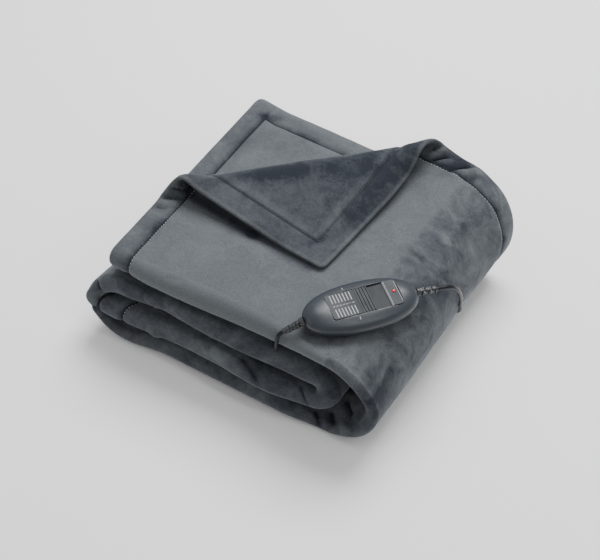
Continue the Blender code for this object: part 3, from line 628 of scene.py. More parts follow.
class Finish:
    """A material of fine noise, all of it read at the piece's own place."""

    def __init__(self, name, colour, roughness, **others):
        self.material = bpy.data.materials.new(name)
        self.material.use_nodes = True
        self.nodes, self.link = self.material.node_tree.nodes, self.material.node_tree.links.new
        self.face, self.colour = self.nodes["Principled BSDF"].inputs, colour
        self.face["Base Color"].default_value = (*colour, 1.0)
        self.face["Roughness"].default_value = roughness
        for socket, value in others.items():
            self.face[socket.replace("_", " ")].default_value = value

    def node(self, kind, **values):
        made = self.nodes.new("ShaderNode" + kind)
        for socket, value in values.items():
            made.inputs[socket.replace("_", " ")].default_value = value
        return made

    def attribute(self, name):
        made = self.node("Attribute")
        made.attribute_name = name
        return made.outputs["Fac"]

    def noise(self, scale, detail, rough=0.55, distort=0.0):
        made = self.node("TexNoise", Scale=scale, Detail=detail, Roughness=rough, Distortion=distort)
        self.link(self.node("TexCoord").outputs["Object"], made.inputs["Vector"])
        return made.outputs["Fac"]

    def math(self, operation, first, second):
        made = self.node("Math")
        made.operation = operation
        self.link(first, made.inputs[0])
        if isinstance(second, float):
            made.inputs[1].default_value = second
        else:
            self.link(second, made.inputs[1])
        return made.outputs[0]

    def ranged(self, value, low, high, to_low, to_high, socket=""):
        """Bring a value from one range softly into another, and into a socket of the shader."""
        made = self.node("MapRange", From_Min=low, From_Max=high, To_Min=to_low, To_Max=to_high)
        made.interpolation_type = "SMOOTHSTEP"
        self.link(value, made.inputs["Value"])
        if socket:
            self.link(made.outputs["Result"], self.face[socket])
        return made.outputs["Result"]

    def tinted(self, value, *stops):
        """Rows of place and colour, read at a value."""
        made = self.node("ValToRGB")
        for element, (position, colour) in zip(made.color_ramp.elements, stops):
            element.position, element.color = position, (*colour, 1.0)
        self.link(value, made.inputs["Fac"])
        return made.outputs["Color"]

    def shaded(self, value, *stops):
        """Rows of place and share of the finish's own colour, read at a value."""
        tints = [(position, [c * share for c in self.colour]) for position, share in stops]
        self.link(self.tinted(value, *tints), self.face["Base Color"])

    def bumped(self, height, strength, distance):
        made = self.node("Bump", Strength=strength, Distance=distance)
        self.link(height, made.inputs["Height"])
        self.link(made.outputs["Normal"], self.face["Normal"])


plush = Finish("brushed_plush", (0.17, 0.185, 0.20), 0.9, Sheen_Weight=0.22, Sheen_Roughness=0.38,
               Sheen_Tint=(0.80, 0.87, 0.95, 1.0), Specular_IOR_Level=0.15)
patches = plush.noise(17, 3, 0.6, 1.2)       # hand-sized strokes where the pile lies another way
strokes = plush.noise(62, 3, 0.55, 0.9)      # finger marks
crushed = plush.noise(260, 3, 0.6, 0.6)      # small clumps that lean together
fibres = plush.noise(900, 2, 0.6)            # tufts of pile
patchy = plush.ranged(patches, 0.30, 0.72, -0.5, 0.5)
stroked = plush.ranged(strokes, 0.25, 0.75, -0.5, 0.5)
mottle = plush.math("MULTIPLY", plush.math("ADD", patchy, plush.math("MULTIPLY", stroked, 0.55)),
                    plush.attribute("stroked"))
clumps = plush.ranged(crushed, 0.25, 0.75, -0.07, 0.07)
# the pile's tone carries the painted light and shade laid on the cloth
tone = plush.math("ADD", plush.math("ADD", plush.attribute("pile_and_shade"), mottle), clumps)
tuft = plush.node("Mix")
tuft.data_type, tuft.blend_type = "RGBA", "MULTIPLY"
tuft.inputs["Factor"].default_value = 1.0
plush.link(plush.tinted(tone, (0.0, (0.016, 0.019, 0.026)), (1.0, (0.100, 0.110, 0.119))), tuft.inputs["A"])
plush.link(plush.tinted(fibres, (0.3, (0.78,) * 3), (0.7, (1.20,) * 3)), tuft.inputs["B"])
plush.link(tuft.outputs["Result"], plush.face["Base Color"])
plush.bumped(plush.math("ADD", fibres, plush.math("MULTIPLY", strokes, 1.2)), 0.35, 0.0006)
throw.data.materials.append(plush.material)
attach(throw, "throw")
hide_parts("blanket")


# ---------------------------------------------------------------------------------------------
# The stitching.  Lockstitch through both plies, pale thread above and dark below, all round the
# throw a border's width in from its edge, pulled down into the pile, so that both faces show it.
# ---------------------------------------------------------------------------------------------
STITCH, STITCH_LONG, THREAD_WIDE, THREAD_HIGH = 0.0040, 0.0019, 0.0009, 0.0008
# just inside the groove that the stitching draws, on the flat cloth
STITCH_AT = (reach_long[first_row + 1], reach_long[last_row - 1],
             reach_wide[first_row + 1], reach_wide[rows - len(BORDER_ROWS)])


def seam_lines():
    """The four seams as rows of place, way out of the cloth and half thickness, read off the cloth."""
    flat_long = [value.value for value in throw_mesh.attributes["flat_long"].data]
    flat_wide = [value.value for value in throw_mesh.attributes["flat_wide"].data]
    full = [value.value for value in throw_mesh.attributes["fullness"].data]
    ends_long, ends_wide = STITCH_AT[:2], STITCH_AT[2:]
    sides = [(flat_long, place, flat_wide, ends_wide) for place in ends_long]
    sides += [(flat_wide, place, flat_long, ends_long) for place in ends_wide]
    for fixed, place, running, (first, last) in sides:
        found = [(running[i], i) for i in range(len(flat_long))
                 if abs(fixed[i] - place) < 1e-5 and first - 1e-5 <= running[i] <= last + 1e-5]
        yield [(throw_mesh.vertices[i].co.copy(), throw_mesh.vertices[i].normal.copy(), full[i] * CLOTH / 2)
               for _, i in sorted(found)]


places = []
for line in seam_lines():
    travelled, due = 0.0, STITCH / 2
    for (start, start_up, start_half), (stop, stop_up, stop_half) in zip(line, line[1:]):
        step = (stop - start).length
        way = (stop - start).normalized()
        while due < travelled + step:
            t = (due - travelled) / step
            sideways = start_up.lerp(stop_up, t).cross(way).normalized()
            up = way.cross(sideways)
            turn = Matrix((way, sideways, up)).transposed().to_4x4()
            for face_side in (-1, 1):
                centre = start.lerp(stop, t) + up * face_side * mix(start_half, stop_half, t)
                places.append((Matrix.Translation(centre) @ turn, max(face_side, 0)))
            due += STITCH
        travelled += step
size = Matrix.Diagonal((STITCH_LONG / 2, THREAD_WIDE / 2, THREAD_HIGH / 2, 1.0))
BATCH = 40                           # small lots, because each ball is slow to add to a large mesh
bm = bmesh.new()
for first in range(0, len(places), BATCH):
    lot = bmesh.new()
    for place, upper in places[first:first + BATCH]:
        made = bmesh.ops.create_uvsphere(lot, u_segments=6, v_segments=4, radius=1, matrix=place @ size)
        for face in each_once(face for vert in made["verts"] for face in vert.link_faces):
            face.material_index = upper
    lot_mesh = bpy.data.meshes.new("stitch_lot")
    lot.to_mesh(lot_mesh)
    lot.free()
    bm.from_mesh(lot_mesh)
    bpy.data.meshes.remove(lot_mesh)


def sewing_thread(name, colour):
    """Twisted thread, a little uneven in its tone."""
    made = Finish(name, colour, 0.7)
    made.shaded(made.noise(1500, 2, 0.5), (0.3, 0.75), (0.7, 1.2))
    made.bumped(made.noise(4000, 1, 0.5), 0.5, 0.0001)
    return made.material


stitches = bpy.data.meshes.new("border_stitches")
bm.to_mesh(stitches)
bm.free()
stitches.shade_smooth()
stitches.materials.append(sewing_thread("lower_thread", (0.05, 0.052, 0.056)))
stitches.materials.append(sewing_thread("upper_thread", (0.42, 0.395, 0.38)))
border_stitches = in_scene("border_stitches", stitches)
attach(border_stitches, "throw")


# ---------------------------------------------------------------------------------------------
# The control's housing.  Two moulded half shells of satin dark plastic, screwed together from
# below, with a long window in the upper one.  It lies on the throw, turned and tipped with it.
# ---------------------------------------------------------------------------------------------
CONTROL_TURN, CONTROL_TIP = math.radians(53), math.radians(5.5)
seat = Matrix.Translation(CONTROL_AT) @ (Matrix.Rotation(CONTROL_TIP, 3, "Y")
                                         @ Matrix.Rotation(CONTROL_TURN, 3, "Z")).to_4x4()
HOUSING_LONG, HOUSING_WIDE = 0.139, 0.0665
OVAL = 2.2                           # how square the oval is: 2 is an ellipse
# Columns: height, how far the outline is drawn in
LOWER_SHELL = [(0.0, 0.0105), (0.0012, 0.0068), (0.0045, 0.0022), (0.0080, 0.0005), (0.0108, 0.0)]
UPPER_SHELL = [(0.0111, 0.0), (0.0147, 0.0008), (0.0184, 0.0034), (0.0210, 0.0074), (0.0230, 0.0125),
               (0.0244, 0.0185), (0.0252, 0.0250), (0.0255, 0.0300)]
WINDOW_LOW, WINDOW_HIGH = Vector((-0.0402, -0.0180, 0.0212)), Vector((0.0458, 0.0180, 0.0400))
WINDOW_CORNER = 0.0035


def finer(rows, steps):
    """A table of pairs with smooth rows put in between."""
    points = [Vector(row) for row in rows]
    ends = [points[0] * 2 - points[1]] + points + [points[-1] * 2 - points[-2]]
    result = []
    for before, start, finish, after in zip(ends, ends[1:], ends[2:], ends[3:]):
        for step in range(steps):
            t = step / steps
            result.append((start * 2 + (finish - before) * t
                           + (before * 2 - start * 5 + finish * 4 - after) * t * t
                           + (start * 3 - before - finish * 3 + after) * t ** 3) / 2)
    return result + [points[-1]]


def lofted(bm, rows, power, segments):
    """A closed body of oval sections up its own Z.  Rows: height, half length, half width."""
    ring = bmesh.ops.create_circle(bm, cap_ends=True, radius=1, segments=segments)["verts"]
    height, long, wide = rows[0]
    for vert in ring:
        c, s = vert.co.x, vert.co.y
        vert.co = (long * math.copysign(abs(c) ** (2 / power), c),
                   wide * math.copysign(abs(s) ** (2 / power), s), height)
    edges = each_once(edge for vert in ring for edge in vert.link_edges)
    for row in rows[1:]:
        grown = bmesh.ops.extrude_edge_only(bm, edges=edges)["geom"]
        verts = [item for item in grown if isinstance(item, bmesh.types.BMVert)]
        edges = [item for item in grown if isinstance(item, bmesh.types.BMEdge)]
        bmesh.ops.scale(bm, verts=verts, vec=(row[1] / long, row[2] / wide, 1))
        bmesh.ops.translate(bm, verts=verts, vec=(0, 0, row[0] - height))
        height, long, wide = row
    bmesh.ops.edgeloop_fill(bm, edges=edges)


def slab(bm, low, high, corner, segments=6):
    """A flat block between two corners, its upright edges rounded."""
    verts = bmesh.ops.create_cube(bm, size=1)["verts"]
    bmesh.ops.scale(bm, verts=verts, vec=high - low)
    bmesh.ops.translate(bm, verts=verts, vec=(high + low) / 2)
    if corner:
        upright = [edge for edge in each_once(edge for vert in verts for edge in vert.link_edges)
                   if abs(edge.verts[0].co.z - edge.verts[1].co.z) > (high.z - low.z) / 2]
        bmesh.ops.bevel(bm, geom=upright, offset=corner, segments=segments, profile=0.5, affect="EDGES",
                        material=-1)


def new_piece(name, bm, material, place=None, sharp=35):
    """Put a finished bmesh in the scene, its place in its mesh."""
    if place is not None:
        bmesh.ops.transform(bm, matrix=place, verts=bm.verts[:])
    bmesh.ops.recalc_face_normals(bm, faces=bm.faces[:])
    mesh = bpy.data.meshes.new(name)
    bm.to_mesh(mesh)
    bm.free()
    mesh.shade_smooth()
    mesh.set_sharp_from_angle(angle=math.radians(sharp))
    mesh.materials.append(material)
    return in_scene(name, mesh)


def soften(piece, width, segments=2, angle=35):
    """A small rounded edge all over a piece."""
    rounded = piece.modifiers.new("edges", "BEVEL")
    rounded.width = width
    rounded.segments = segments
    rounded.limit_method = "ANGLE"
    rounded.angle_limit = math.radians(angle)
    rounded.harden_normals = False


def moulded_plastic(name, colour, roughness, shine=0.40):
    """Satin moulding: a fine spark-eroded grain, a little smoother where it has been handled."""
    made = Finish(name, colour, roughness, Specular_IOR_Level=shine)
    made.ranged(made.noise(55, 3, 0.6), 0.3, 0.75, roughness - 0.05, roughness + 0.07, "Roughness")
    made.shaded(made.noise(140, 3, 0.6), (0.25, 0.93), (0.75, 1.07))
    made.bumped(made.noise(3200, 2, 0.5), 0.28, 0.00006)
    return made.material


dark_plastic = moulded_plastic("dark_plastic", (0.022, 0.028, 0.036), 0.36, 0.44)
track_plastic = moulded_plastic("track_plastic", (0.030, 0.034, 0.038), 0.55, 0.14)
for name, profile in (("housing_lower_half", LOWER_SHELL), ("housing_upper_half", UPPER_SHELL)):
    bm = bmesh.new()
    lofted(bm, [(z, HOUSING_LONG / 2 - inset, HOUSING_WIDE / 2 - inset) for z, inset in finer(profile, 5)],
           OVAL, 128)
    if profile is LOWER_SHELL:
        half = new_piece(name, bm, dark_plastic, seat)
    else:
        shell = new_piece(name + "_uncut", bm, dark_plastic, seat)
        bm = bmesh.new()
        slab(bm, WINDOW_LOW, WINDOW_HIGH, WINDOW_CORNER)
        window = new_piece("window_cutter", bm, track_plastic, seat)
        opened = shell.modifiers.new("window", "BOOLEAN")
        opened.operation, opened.object, opened.material_mode = "DIFFERENCE", window, "TRANSFER"
        soften(shell, 0.00035, 2, 50)
        cut = shell.evaluated_get(bpy.context.evaluated_depsgraph_get())
        half = in_scene(name, bpy.data.meshes.new_from_object(cut))
        bpy.data.objects.remove(window)
        bpy.data.objects.remove(shell)
    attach(half, "throw")
    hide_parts(name.replace("_half", ""))

# The two index marks, printed across the housing at either side of the slider's first line
print_grey = Finish("printed_grey", (0.34, 0.355, 0.37), 0.50).material
MARK_WIDE, MARK_LONG, INK = 0.0008, 0.0034, 0.0001
MARKS = [(-0.0105, -0.0222), (-0.0148, 0.0222)]
shell_top = BVHTree.FromObject(half, bpy.context.evaluated_depsgraph_get())
down = (seat.to_3x3() @ Vector((0, 0, -1))).normalized()
bm = bmesh.new()
for x, y in MARKS:
    mark = bmesh.ops.create_grid(bm, x_segments=2, y_segments=6, size=0.5)["verts"]
    bmesh.ops.scale(bm, verts=mark, vec=(MARK_WIDE, MARK_LONG, 1))
    bmesh.ops.translate(bm, verts=mark, vec=(x, y, 0.05))
    for vert in mark:
        hit, normal, _, _ = shell_top.ray_cast(seat @ vert.co, down)
        vert.co = hit + normal * INK
bmesh.ops.solidify(bm, geom=bm.faces[:], thickness=INK / 2)
bmesh.ops.recalc_face_normals(bm, faces=bm.faces[:])
marks = new_piece("index_marks", bm, print_grey)
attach(marks, "throw")


# ---------------------------------------------------------------------------------------------
# The heat slider.  One moulding: a flat plate printed with the scale, and a ribbed grip that the
# thumb pushes along the track.  Beside the track are the lamp's panel and its red lens.
# ---------------------------------------------------------------------------------------------
GAP = 0.0003
PRINT = 0.00005                      # how far printing stands proud
TRACK = WINDOW_LOW.z + GAP
PLATE_TOP = 0.0238
GRIP_LEFT, SLIDER_RIGHT, SLIDER_HALF, SLIDER_TOP = -0.0054, 0.0114, 0.0173, 0.0248
GROOVES, GROOVE_DEPTH = 4, 0.0014
# A finger groove from its rib's right side to its own left side.  Columns: share of its pitch, depth
GROOVE_SHAPE = [(0.86, 0.0), (0.60, 0.0), (0.53, GROOVE_DEPTH), (0.06, GROOVE_DEPTH)]


def prism(bm, outline, half):
    """An outline of x, z places, swept from side to side."""
    side = bm.faces.new([bm.verts.new((x, -half, z)) for x, z in outline])
    swept = bmesh.ops.extrude_face_region(bm, geom=[side])["geom"]
    bmesh.ops.translate(bm, verts=[item for item in swept if isinstance(item, bmesh.types.BMVert)],
                        vec=(0, 2 * half, 0))


def round_end(bm, at_end):
    """Round the two upright corners at one end of a piece, to fit the window's."""
    upright = [edge for edge in bm.edges if all(at_end(vert.co.x) for vert in edge.verts)
               and abs(edge.verts[0].co.z - edge.verts[1].co.z) > GAP]
    bmesh.ops.bevel(bm, geom=upright, offset=WINDOW_CORNER - GAP, segments=6, profile=0.5, affect="EDGES",
                    material=-1)


slider_plastic = moulded_plastic("slider_plastic", (0.046, 0.051, 0.057), 0.56, 0.22)
bm = bmesh.new()
left_end = WINDOW_LOW.x + 2 * GAP
groove_pitch = (SLIDER_RIGHT - GRIP_LEFT) / (GROOVES + 0.5)
outline = [(left_end, TRACK), (SLIDER_RIGHT, TRACK), (SLIDER_RIGHT, SLIDER_TOP - GROOVE_DEPTH / 2)]
for groove in reversed(range(GROOVES)):
    left = GRIP_LEFT + groove_pitch * (groove + 0.5)
    outline += [(left + groove_pitch * share, SLIDER_TOP - depth) for share, depth in GROOVE_SHAPE]
outline += [(GRIP_LEFT + groove_pitch * 0.45, SLIDER_TOP), (GRIP_LEFT, PLATE_TOP), (left_end, PLATE_TOP)]
prism(bm, outline, SLIDER_HALF)
round_end(bm, lambda x: x < left_end + GAP)
slider = new_piece("slider_moulding", bm, slider_plastic, seat)
soften(slider, 0.00016, 2)
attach(slider, "slider")
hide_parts("heat_slider")

# The scale, printed on the plate: two rows of bars with the settings between them, 0 at the marks
BARS, BAR_LEFT, BAR_PITCH, BAR_WIDE = 7, -0.0335, 0.00384, 0.0009
BAR_ROWS = [(0.0042, 0.0158), (-0.0158, -0.0042)]        # where each row starts and ends
DIGIT_HIGH = 0.0027
bm = bmesh.new()
for bar in range(BARS):
    x = BAR_LEFT + BAR_PITCH * bar
    for near, far in BAR_ROWS:
        slab(bm, Vector((x - BAR_WIDE / 2, near, PLATE_TOP - PRINT)),
             Vector((x + BAR_WIDE / 2, far, PLATE_TOP + PRINT)), 0)
digits = []
for setting in range(BARS):
    letters = bpy.data.curves.new(f"setting_{setting}", "FONT")
    letters.body = str(setting)
    letters.size = DIGIT_HIGH * 1.4
    letters.align_x, letters.align_y = "CENTER", "CENTER"
    letters.extrude = PRINT
    letters.resolution_u = 4
    digits.append(in_scene(f"setting_{setting}", letters))
bpy.context.view_layer.update()
for setting, digit in enumerate(digits):
    mesh = bpy.data.meshes.new_from_object(digit.evaluated_get(bpy.context.evaluated_depsgraph_get()))
    x = BAR_LEFT + BAR_PITCH * (BARS - 1 - setting)
    mesh.transform(Matrix.Translation((x, 0, PLATE_TOP)) @ Matrix.Rotation(math.radians(-90), 4, "Z"))
    bm.from_mesh(mesh)
    bpy.data.objects.remove(digit)
scale_print = new_piece("printed_scale", bm, print_grey, seat)
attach(scale_print, "slider")

# The lamp's panel, with a chamfer along its left edge and a thin line along its right, both light grey as a
# painted highlight
PANEL_LEFT, PANEL_HALF = 0.0308, 0.0174
PANEL_RIGHT = WINDOW_HIGH.x - 2 * GAP
CHAMFER = 0.0016
panel_plastic = moulded_plastic("panel_plastic", (0.046, 0.051, 0.057), 0.56, 0.22)
# the edge strip's light grey stands in for light caught by the edges: a painted highlight
panel_painted_highlight = moulded_plastic("panel_painted_highlight", (0.26, 0.275, 0.29), 0.45)
bm = bmesh.new()
slab(bm, Vector((PANEL_LEFT + CHAMFER, -PANEL_HALF, TRACK)), Vector((PANEL_RIGHT, PANEL_HALF, PLATE_TOP)), 0)
round_end(bm, lambda x: x > PANEL_RIGHT - GAP)
panel = new_piece("lamp_panel_face", bm, panel_plastic, seat)
soften(panel, 0.00016, 2)
bm = bmesh.new()
prism(bm, [(PANEL_LEFT, TRACK), (PANEL_LEFT + CHAMFER, TRACK), (PANEL_LEFT + CHAMFER, PLATE_TOP),
           (PANEL_LEFT + CHAMFER * 0.75, PLATE_TOP), (PANEL_LEFT, TRACK + 0.0008)], PANEL_HALF)
slab(bm, Vector((PANEL_RIGHT - 0.0012, -PANEL_HALF + 0.003, PLATE_TOP - PRINT)),
     Vector((PANEL_RIGHT - 0.0007, PANEL_HALF - 0.003, PLATE_TOP + PRINT)), 0)
highlight_strips = new_piece("lamp_panel_painted_highlight", bm, panel_painted_highlight, seat)
for piece in (panel, highlight_strips):
    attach(piece, "throw")
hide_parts("lamp_panel")

# The lens: a turned dome of clear red plastic in a dark ring
LENS_AT, LENS_RADIUS = Vector((0.0396, 0.0015, PLATE_TOP + 0.0001)), 0.0018
red_lens = Finish("red_lens", (0.62, 0.012, 0.020), 0.12, Coat_Weight=0.6,
                  Emission_Color=(1.0, 0.02, 0.03, 1.0))
red_lens.ranged(red_lens.noise(900, 2, 0.5), 0.3, 0.7, 0.18, 0.42, "Emission Strength")


def turned(bm, profile, steps):
    """A turned body round its own Z.  Columns: radius, height, from the top middle down."""
    verts = [bm.verts.new((radius, 0, height)) for radius, height in profile]
    edges = [bm.edges.new(pair) for pair in zip(verts, verts[1:])]
    bmesh.ops.spin(bm, geom=verts + edges, cent=(0, 0, 0), axis=(0, 0, 1), angle=math.tau, steps=steps,
                   use_merge=True, use_duplicate=False)
    bmesh.ops.remove_doubles(bm, verts=bm.verts[:], dist=1e-6)


bm = bmesh.new()
dome = finer([(0.0, 0.0012), (0.0009, 0.0010), (0.0015, 0.0006), (LENS_RADIUS, 0.0)], 4)
turned(bm, dome + [Vector((0.0, 0.0))], 32)
lens = new_piece("red_lens", bm, red_lens.material, seat @ Matrix.Translation(LENS_AT))
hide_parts("lamp_lens")
bm = bmesh.new()
turned(bm, [(LENS_RADIUS, 0.0), (LENS_RADIUS, 0.0003), (0.0021, 0.0004), (0.0024, 0.0002), (0.0025, 0.0),
            (LENS_RADIUS, 0.0)], 32)
ring = new_piece("lens_ring", bm, dark_plastic, seat @ Matrix.Translation(LENS_AT))
for piece, slot in ((lens, "lens"), (ring, "panel")):
    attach(piece, "throw")


# ---------------------------------------------------------------------------------------------
# The strain reliefs.  Tapered sleeves of soft black rubber, moulded on the cords and held in the
# housing's ends.  Rings with slots between them, bridged first at the sides, then above and below.
# ---------------------------------------------------------------------------------------------
RELIEF_LONG, RELIEF_BASE, RELIEF_TIP, RELIEF_HEIGHT = 0.0245, 0.0045, 0.0037, 0.0108
RELIEF_RINGS, CORE = 5, 0.0027
COLLAR, TIP_ROUND, ROOT = 0.0035, 0.0004, 0.0010         # plain at its base, at its tip, in the housing
# Columns: name, end of the housing, droop, gap to the housing
RELIEFS = [("relief_blanket", -1, math.radians(24), 4 * GAP), ("relief_mains", 1, math.radians(6), 1.5 * GAP)]


def soft_rubber(name, colour, roughness, shine=0.5):
    """Soft moulded rubber, a little patchy in its gloss, with a fine dull grain."""
    made = Finish(name, colour, roughness, Specular_IOR_Level=shine)
    made.ranged(made.noise(160, 3, 0.6), 0.3, 0.7, roughness - 0.06, roughness + 0.08, "Roughness")
    made.shaded(made.noise(260, 3, 0.6), (0.25, 0.88), (0.75, 1.12))
    made.bumped(made.noise(2600, 2, 0.5), 0.3, 0.00008)
    return made.material


rubber = soft_rubber("soft_rubber", (0.024, 0.026, 0.029), 0.34)
relief_ends = {}
for name, side, droop, gap in RELIEFS:
    outward = Vector((side * math.cos(droop), 0, -math.sin(droop)))
    base = Vector((side * (HOUSING_LONG / 2 + gap), 0, RELIEF_HEIGHT))
    bm = bmesh.new()
    ring_pitch = (RELIEF_LONG - COLLAR) / RELIEF_RINGS
    profile = [(0, RELIEF_LONG), (RELIEF_TIP - 0.0008, RELIEF_LONG),
               (RELIEF_TIP - 0.0002, RELIEF_LONG - 0.0003)]
    for ring in range(RELIEF_RINGS):
        top = RELIEF_LONG - TIP_ROUND - ring * ring_pitch
        radius = mix(RELIEF_TIP, RELIEF_BASE, 1 - top / RELIEF_LONG)
        profile += [(radius, top - 0.0003), (radius + 0.0001, top - ring_pitch * 0.52),
                    (radius - 0.0003, top - ring_pitch * 0.58), (CORE, top - ring_pitch * 0.62),
                    (CORE, top - ring_pitch * 0.96)]
    profile += [(RELIEF_BASE, 0.0028), (RELIEF_BASE + 0.0008, 0.0022), (RELIEF_BASE + 0.0009, -gap - ROOT),
                (0, -gap - ROOT)]
    turned(bm, profile, 28)
    for ring in range(RELIEF_RINGS):
        middle = RELIEF_LONG - TIP_ROUND - (ring + 0.79) * ring_pitch
        radius = mix(RELIEF_TIP, RELIEF_BASE, 1 - middle / RELIEF_LONG)
        for turn in (0, 180):
            bridge = bmesh.ops.create_cube(bm, size=1)["verts"]
            bmesh.ops.scale(bm, verts=bridge, vec=(radius - CORE + 0.0014, radius * 0.95, ring_pitch * 0.50))
            bmesh.ops.translate(bm, verts=bridge, vec=((radius + CORE - 0.0016) / 2, 0, middle))
            bmesh.ops.rotate(bm, verts=bridge, cent=(0, 0, 0),
                             matrix=Matrix.Rotation(math.radians(turn + 90 * (ring % 2)), 3, "Z"))
    aim = Vector((0, 0, 1)).rotation_difference(outward).to_matrix().to_4x4()
    sleeve = new_piece(name + "_sleeve", bm, rubber, seat @ Matrix.Translation(base) @ aim)
    soften(sleeve, 0.00012, 2)
    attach(sleeve, "throw")
    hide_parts(name)
    relief_ends[name] = (seat @ (base + outward * (RELIEF_LONG + 3 * GAP)), seat.to_3x3() @ outward)


# ---------------------------------------------------------------------------------------------
# The leads.  Round flexible cord, 5 mm thick.  The short one goes over the top layer's front edge
# into the fold below it.  The mains lead drops off the right bend and lies coiled behind the stack.
# ---------------------------------------------------------------------------------------------
CORD = 0.005
FLOOR_CORD = CORD / 2 + 0.0002       # the middle of a cord that lies on the floor
COIL_AT, COIL_INNER, COIL_OUTER = Vector((0.014, 0.208)), 0.0225, 0.0375
COIL_TURNS, COIL_STEPS, COIL_SLACK = 4, 40, 0.0004       # in each layer, points a turn, air between layers
COIL_DIP = 0.0042                    # how far it bulges inwards where it climbs to its upper layer
PLUG_AT = Vector((-0.048, 0.2435, 0.0066))


def smooth_route(points, step):
    """Even points along a smooth curve through a route's own points."""
    fine = finer(points, 16)
    reach = [0.0]
    for a, b in zip(fine, fine[1:]):
        reach.append(reach[-1] + (b - a).length)
    count = max(round(reach[-1] / step), 2)
    even, i = [], 0
    for k in range(count + 1):
        wanted = reach[-1] * k / count
        while i < len(fine) - 2 and reach[i + 1] < wanted:
            i += 1
        even.append(fine[i].lerp(fine[i + 1], (wanted - reach[i]) / max(reach[i + 1] - reach[i], 1e-9)))
    return even


def coil_point(turn):
    """Where the coil is after so many turns: inwards on the floor, then outwards on top of that."""
    inside = COIL_TURNS - 1
    if turn < inside:
        radius = COIL_OUTER - CORD * turn
    elif turn > inside + 2:
        radius = COIL_INNER + CORD * (turn - inside - 2)
    else:
        radius = COIL_INNER - COIL_DIP * (turn - inside) * (inside + 2 - turn)
    lift = smooth(turn, inside, inside + 2) * (CORD + COIL_SLACK)
    angle = math.tau * (0.25 + turn)
    return Vector((COIL_AT.x + radius * math.cos(angle), COIL_AT.y + radius * math.sin(angle),
                   FLOOR_CORD + lift))


def tube(name, points, material):
    """A cord as a curve of one spline."""
    curve = bpy.data.curves.new(name, "CURVE")
    curve.dimensions = "3D"
    curve.bevel_depth = CORD / 2
    curve.bevel_resolution = 5
    curve.use_fill_caps = True
    line = curve.splines.new("POLY")
    line.points.add(len(points) - 1)
    for spot, point in zip(line.points, points):
        spot.co = (*point, 1)
    line.use_smooth = True
    curve.materials.append(material)
    return in_scene(name, curve)


left_tip, left_way = relief_ends["relief_blanket"]
right_tip, right_way = relief_ends["relief_mains"]
short_route = smooth_route([
    left_tip - left_way * 0.0012, left_tip, (0.0707, -0.1709, 0.1419), (0.0695, -0.1724, 0.1359),
    (0.0688, -0.1727, 0.1280), (0.0680, -0.1722, 0.1205), (0.0664, -0.1702, 0.1135),
    (0.0635, -0.1662, 0.1082), (0.0592, -0.1605, 0.1053), (0.0560, -0.1560, 0.1046)], 0.0016)
jacket = soft_rubber("cord_jacket", (0.009, 0.010, 0.012), 0.24, 0.20)
short_lead = tube("blanket_lead_cord", short_route, jacket)
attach(short_lead, "throw")
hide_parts("blanket_lead")
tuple(short_route[0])

mains_route = smooth_route([
    right_tip - right_way * 0.0012, right_tip + right_way * 0.006, (0.1978, -0.0025, 0.1375),
    (0.2015, 0.0060, 0.1275), (0.2022, 0.0135, 0.1130), (0.2008, 0.0215, 0.0960),
    (0.1965, 0.0320, 0.0730), (0.1900, 0.0460, 0.0460), (0.1790, 0.0590, 0.0225),
    (0.1660, 0.0745, 0.0080), (0.1585, 0.0950, 0.0033), (0.1540, 0.1230, FLOOR_CORD),
    (0.1520, 0.1530, FLOOR_CORD), (0.1450, 0.1830, FLOOR_CORD), (0.1290, 0.2090, FLOOR_CORD),
    (0.1060, 0.2270, FLOOR_CORD), (0.0790, 0.2380, FLOOR_CORD), (0.0540, 0.2438, FLOOR_CORD),
    (0.0345, 0.2455, FLOOR_CORD), coil_point(0.0)], 0.004)
mains_route += [coil_point(step / COIL_STEPS) for step in range(1, COIL_STEPS * 2 * COIL_TURNS + 1)]
mains_route += smooth_route([coil_point(2.0 * COIL_TURNS), (-0.0063, 0.2457, 0.0072),
                             (-0.0210, 0.2460, 0.0068), Vector((-0.0350, 0.2438, PLUG_AT.z)),
                             PLUG_AT], 0.004)[1:]
mains_lead = tube("mains_lead_cord", mains_route, jacket)


# ---------------------------------------------------------------------------------------------
# The plug.  A flat two-pin plug of moulded rubber, with a ribbed neck, and two nickel-plated pins
# in half sleeves.  A thin tie holds the coil beside it.
# ---------------------------------------------------------------------------------------------
plug_place = Matrix.Translation(PLUG_AT) @ (Matrix.Rotation(math.radians(-90), 4, "Z")
                                            @ Matrix.Rotation(math.radians(90), 4, "X"))
# Columns: distance from the cord's end, half width, half thickness
PLUG_SHAPE = [(0.0, 0.0036, 0.0036), (0.009, 0.0052, 0.0048), (0.0135, 0.0088, 0.0060),
              (0.0175, 0.0122, 0.0064), (0.030, 0.0132, 0.0064), (0.0335, 0.0120, 0.0064),
              (0.036, 0.0090, 0.0060)]
bm = bmesh.new()
lofted(bm, finer(PLUG_SHAPE, 6), 3.0, 56)
body = new_piece("plug_moulding", bm, rubber, plug_place)
soften(body, 0.0006, 3, 50)
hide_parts("plug_body")
bm = bmesh.new()
NECK_RINGS, NECK_LONG = 5, 0.0085
for ring in range(NECK_RINGS):
    radius = mix(0.0042, 0.0054, ring / (NECK_RINGS - 1))
    rib = bmesh.ops.create_cone(bm, cap_ends=True, segments=32, radius1=radius, radius2=radius,
                                depth=0.0009)["verts"]
    bmesh.ops.translate(bm, verts=rib, vec=(0, 0, 0.0010 + ring * NECK_LONG / NECK_RINGS))
neck = new_piece("plug_neck_ribs", bm, rubber, plug_place)
soften(neck, 0.0002, 2)

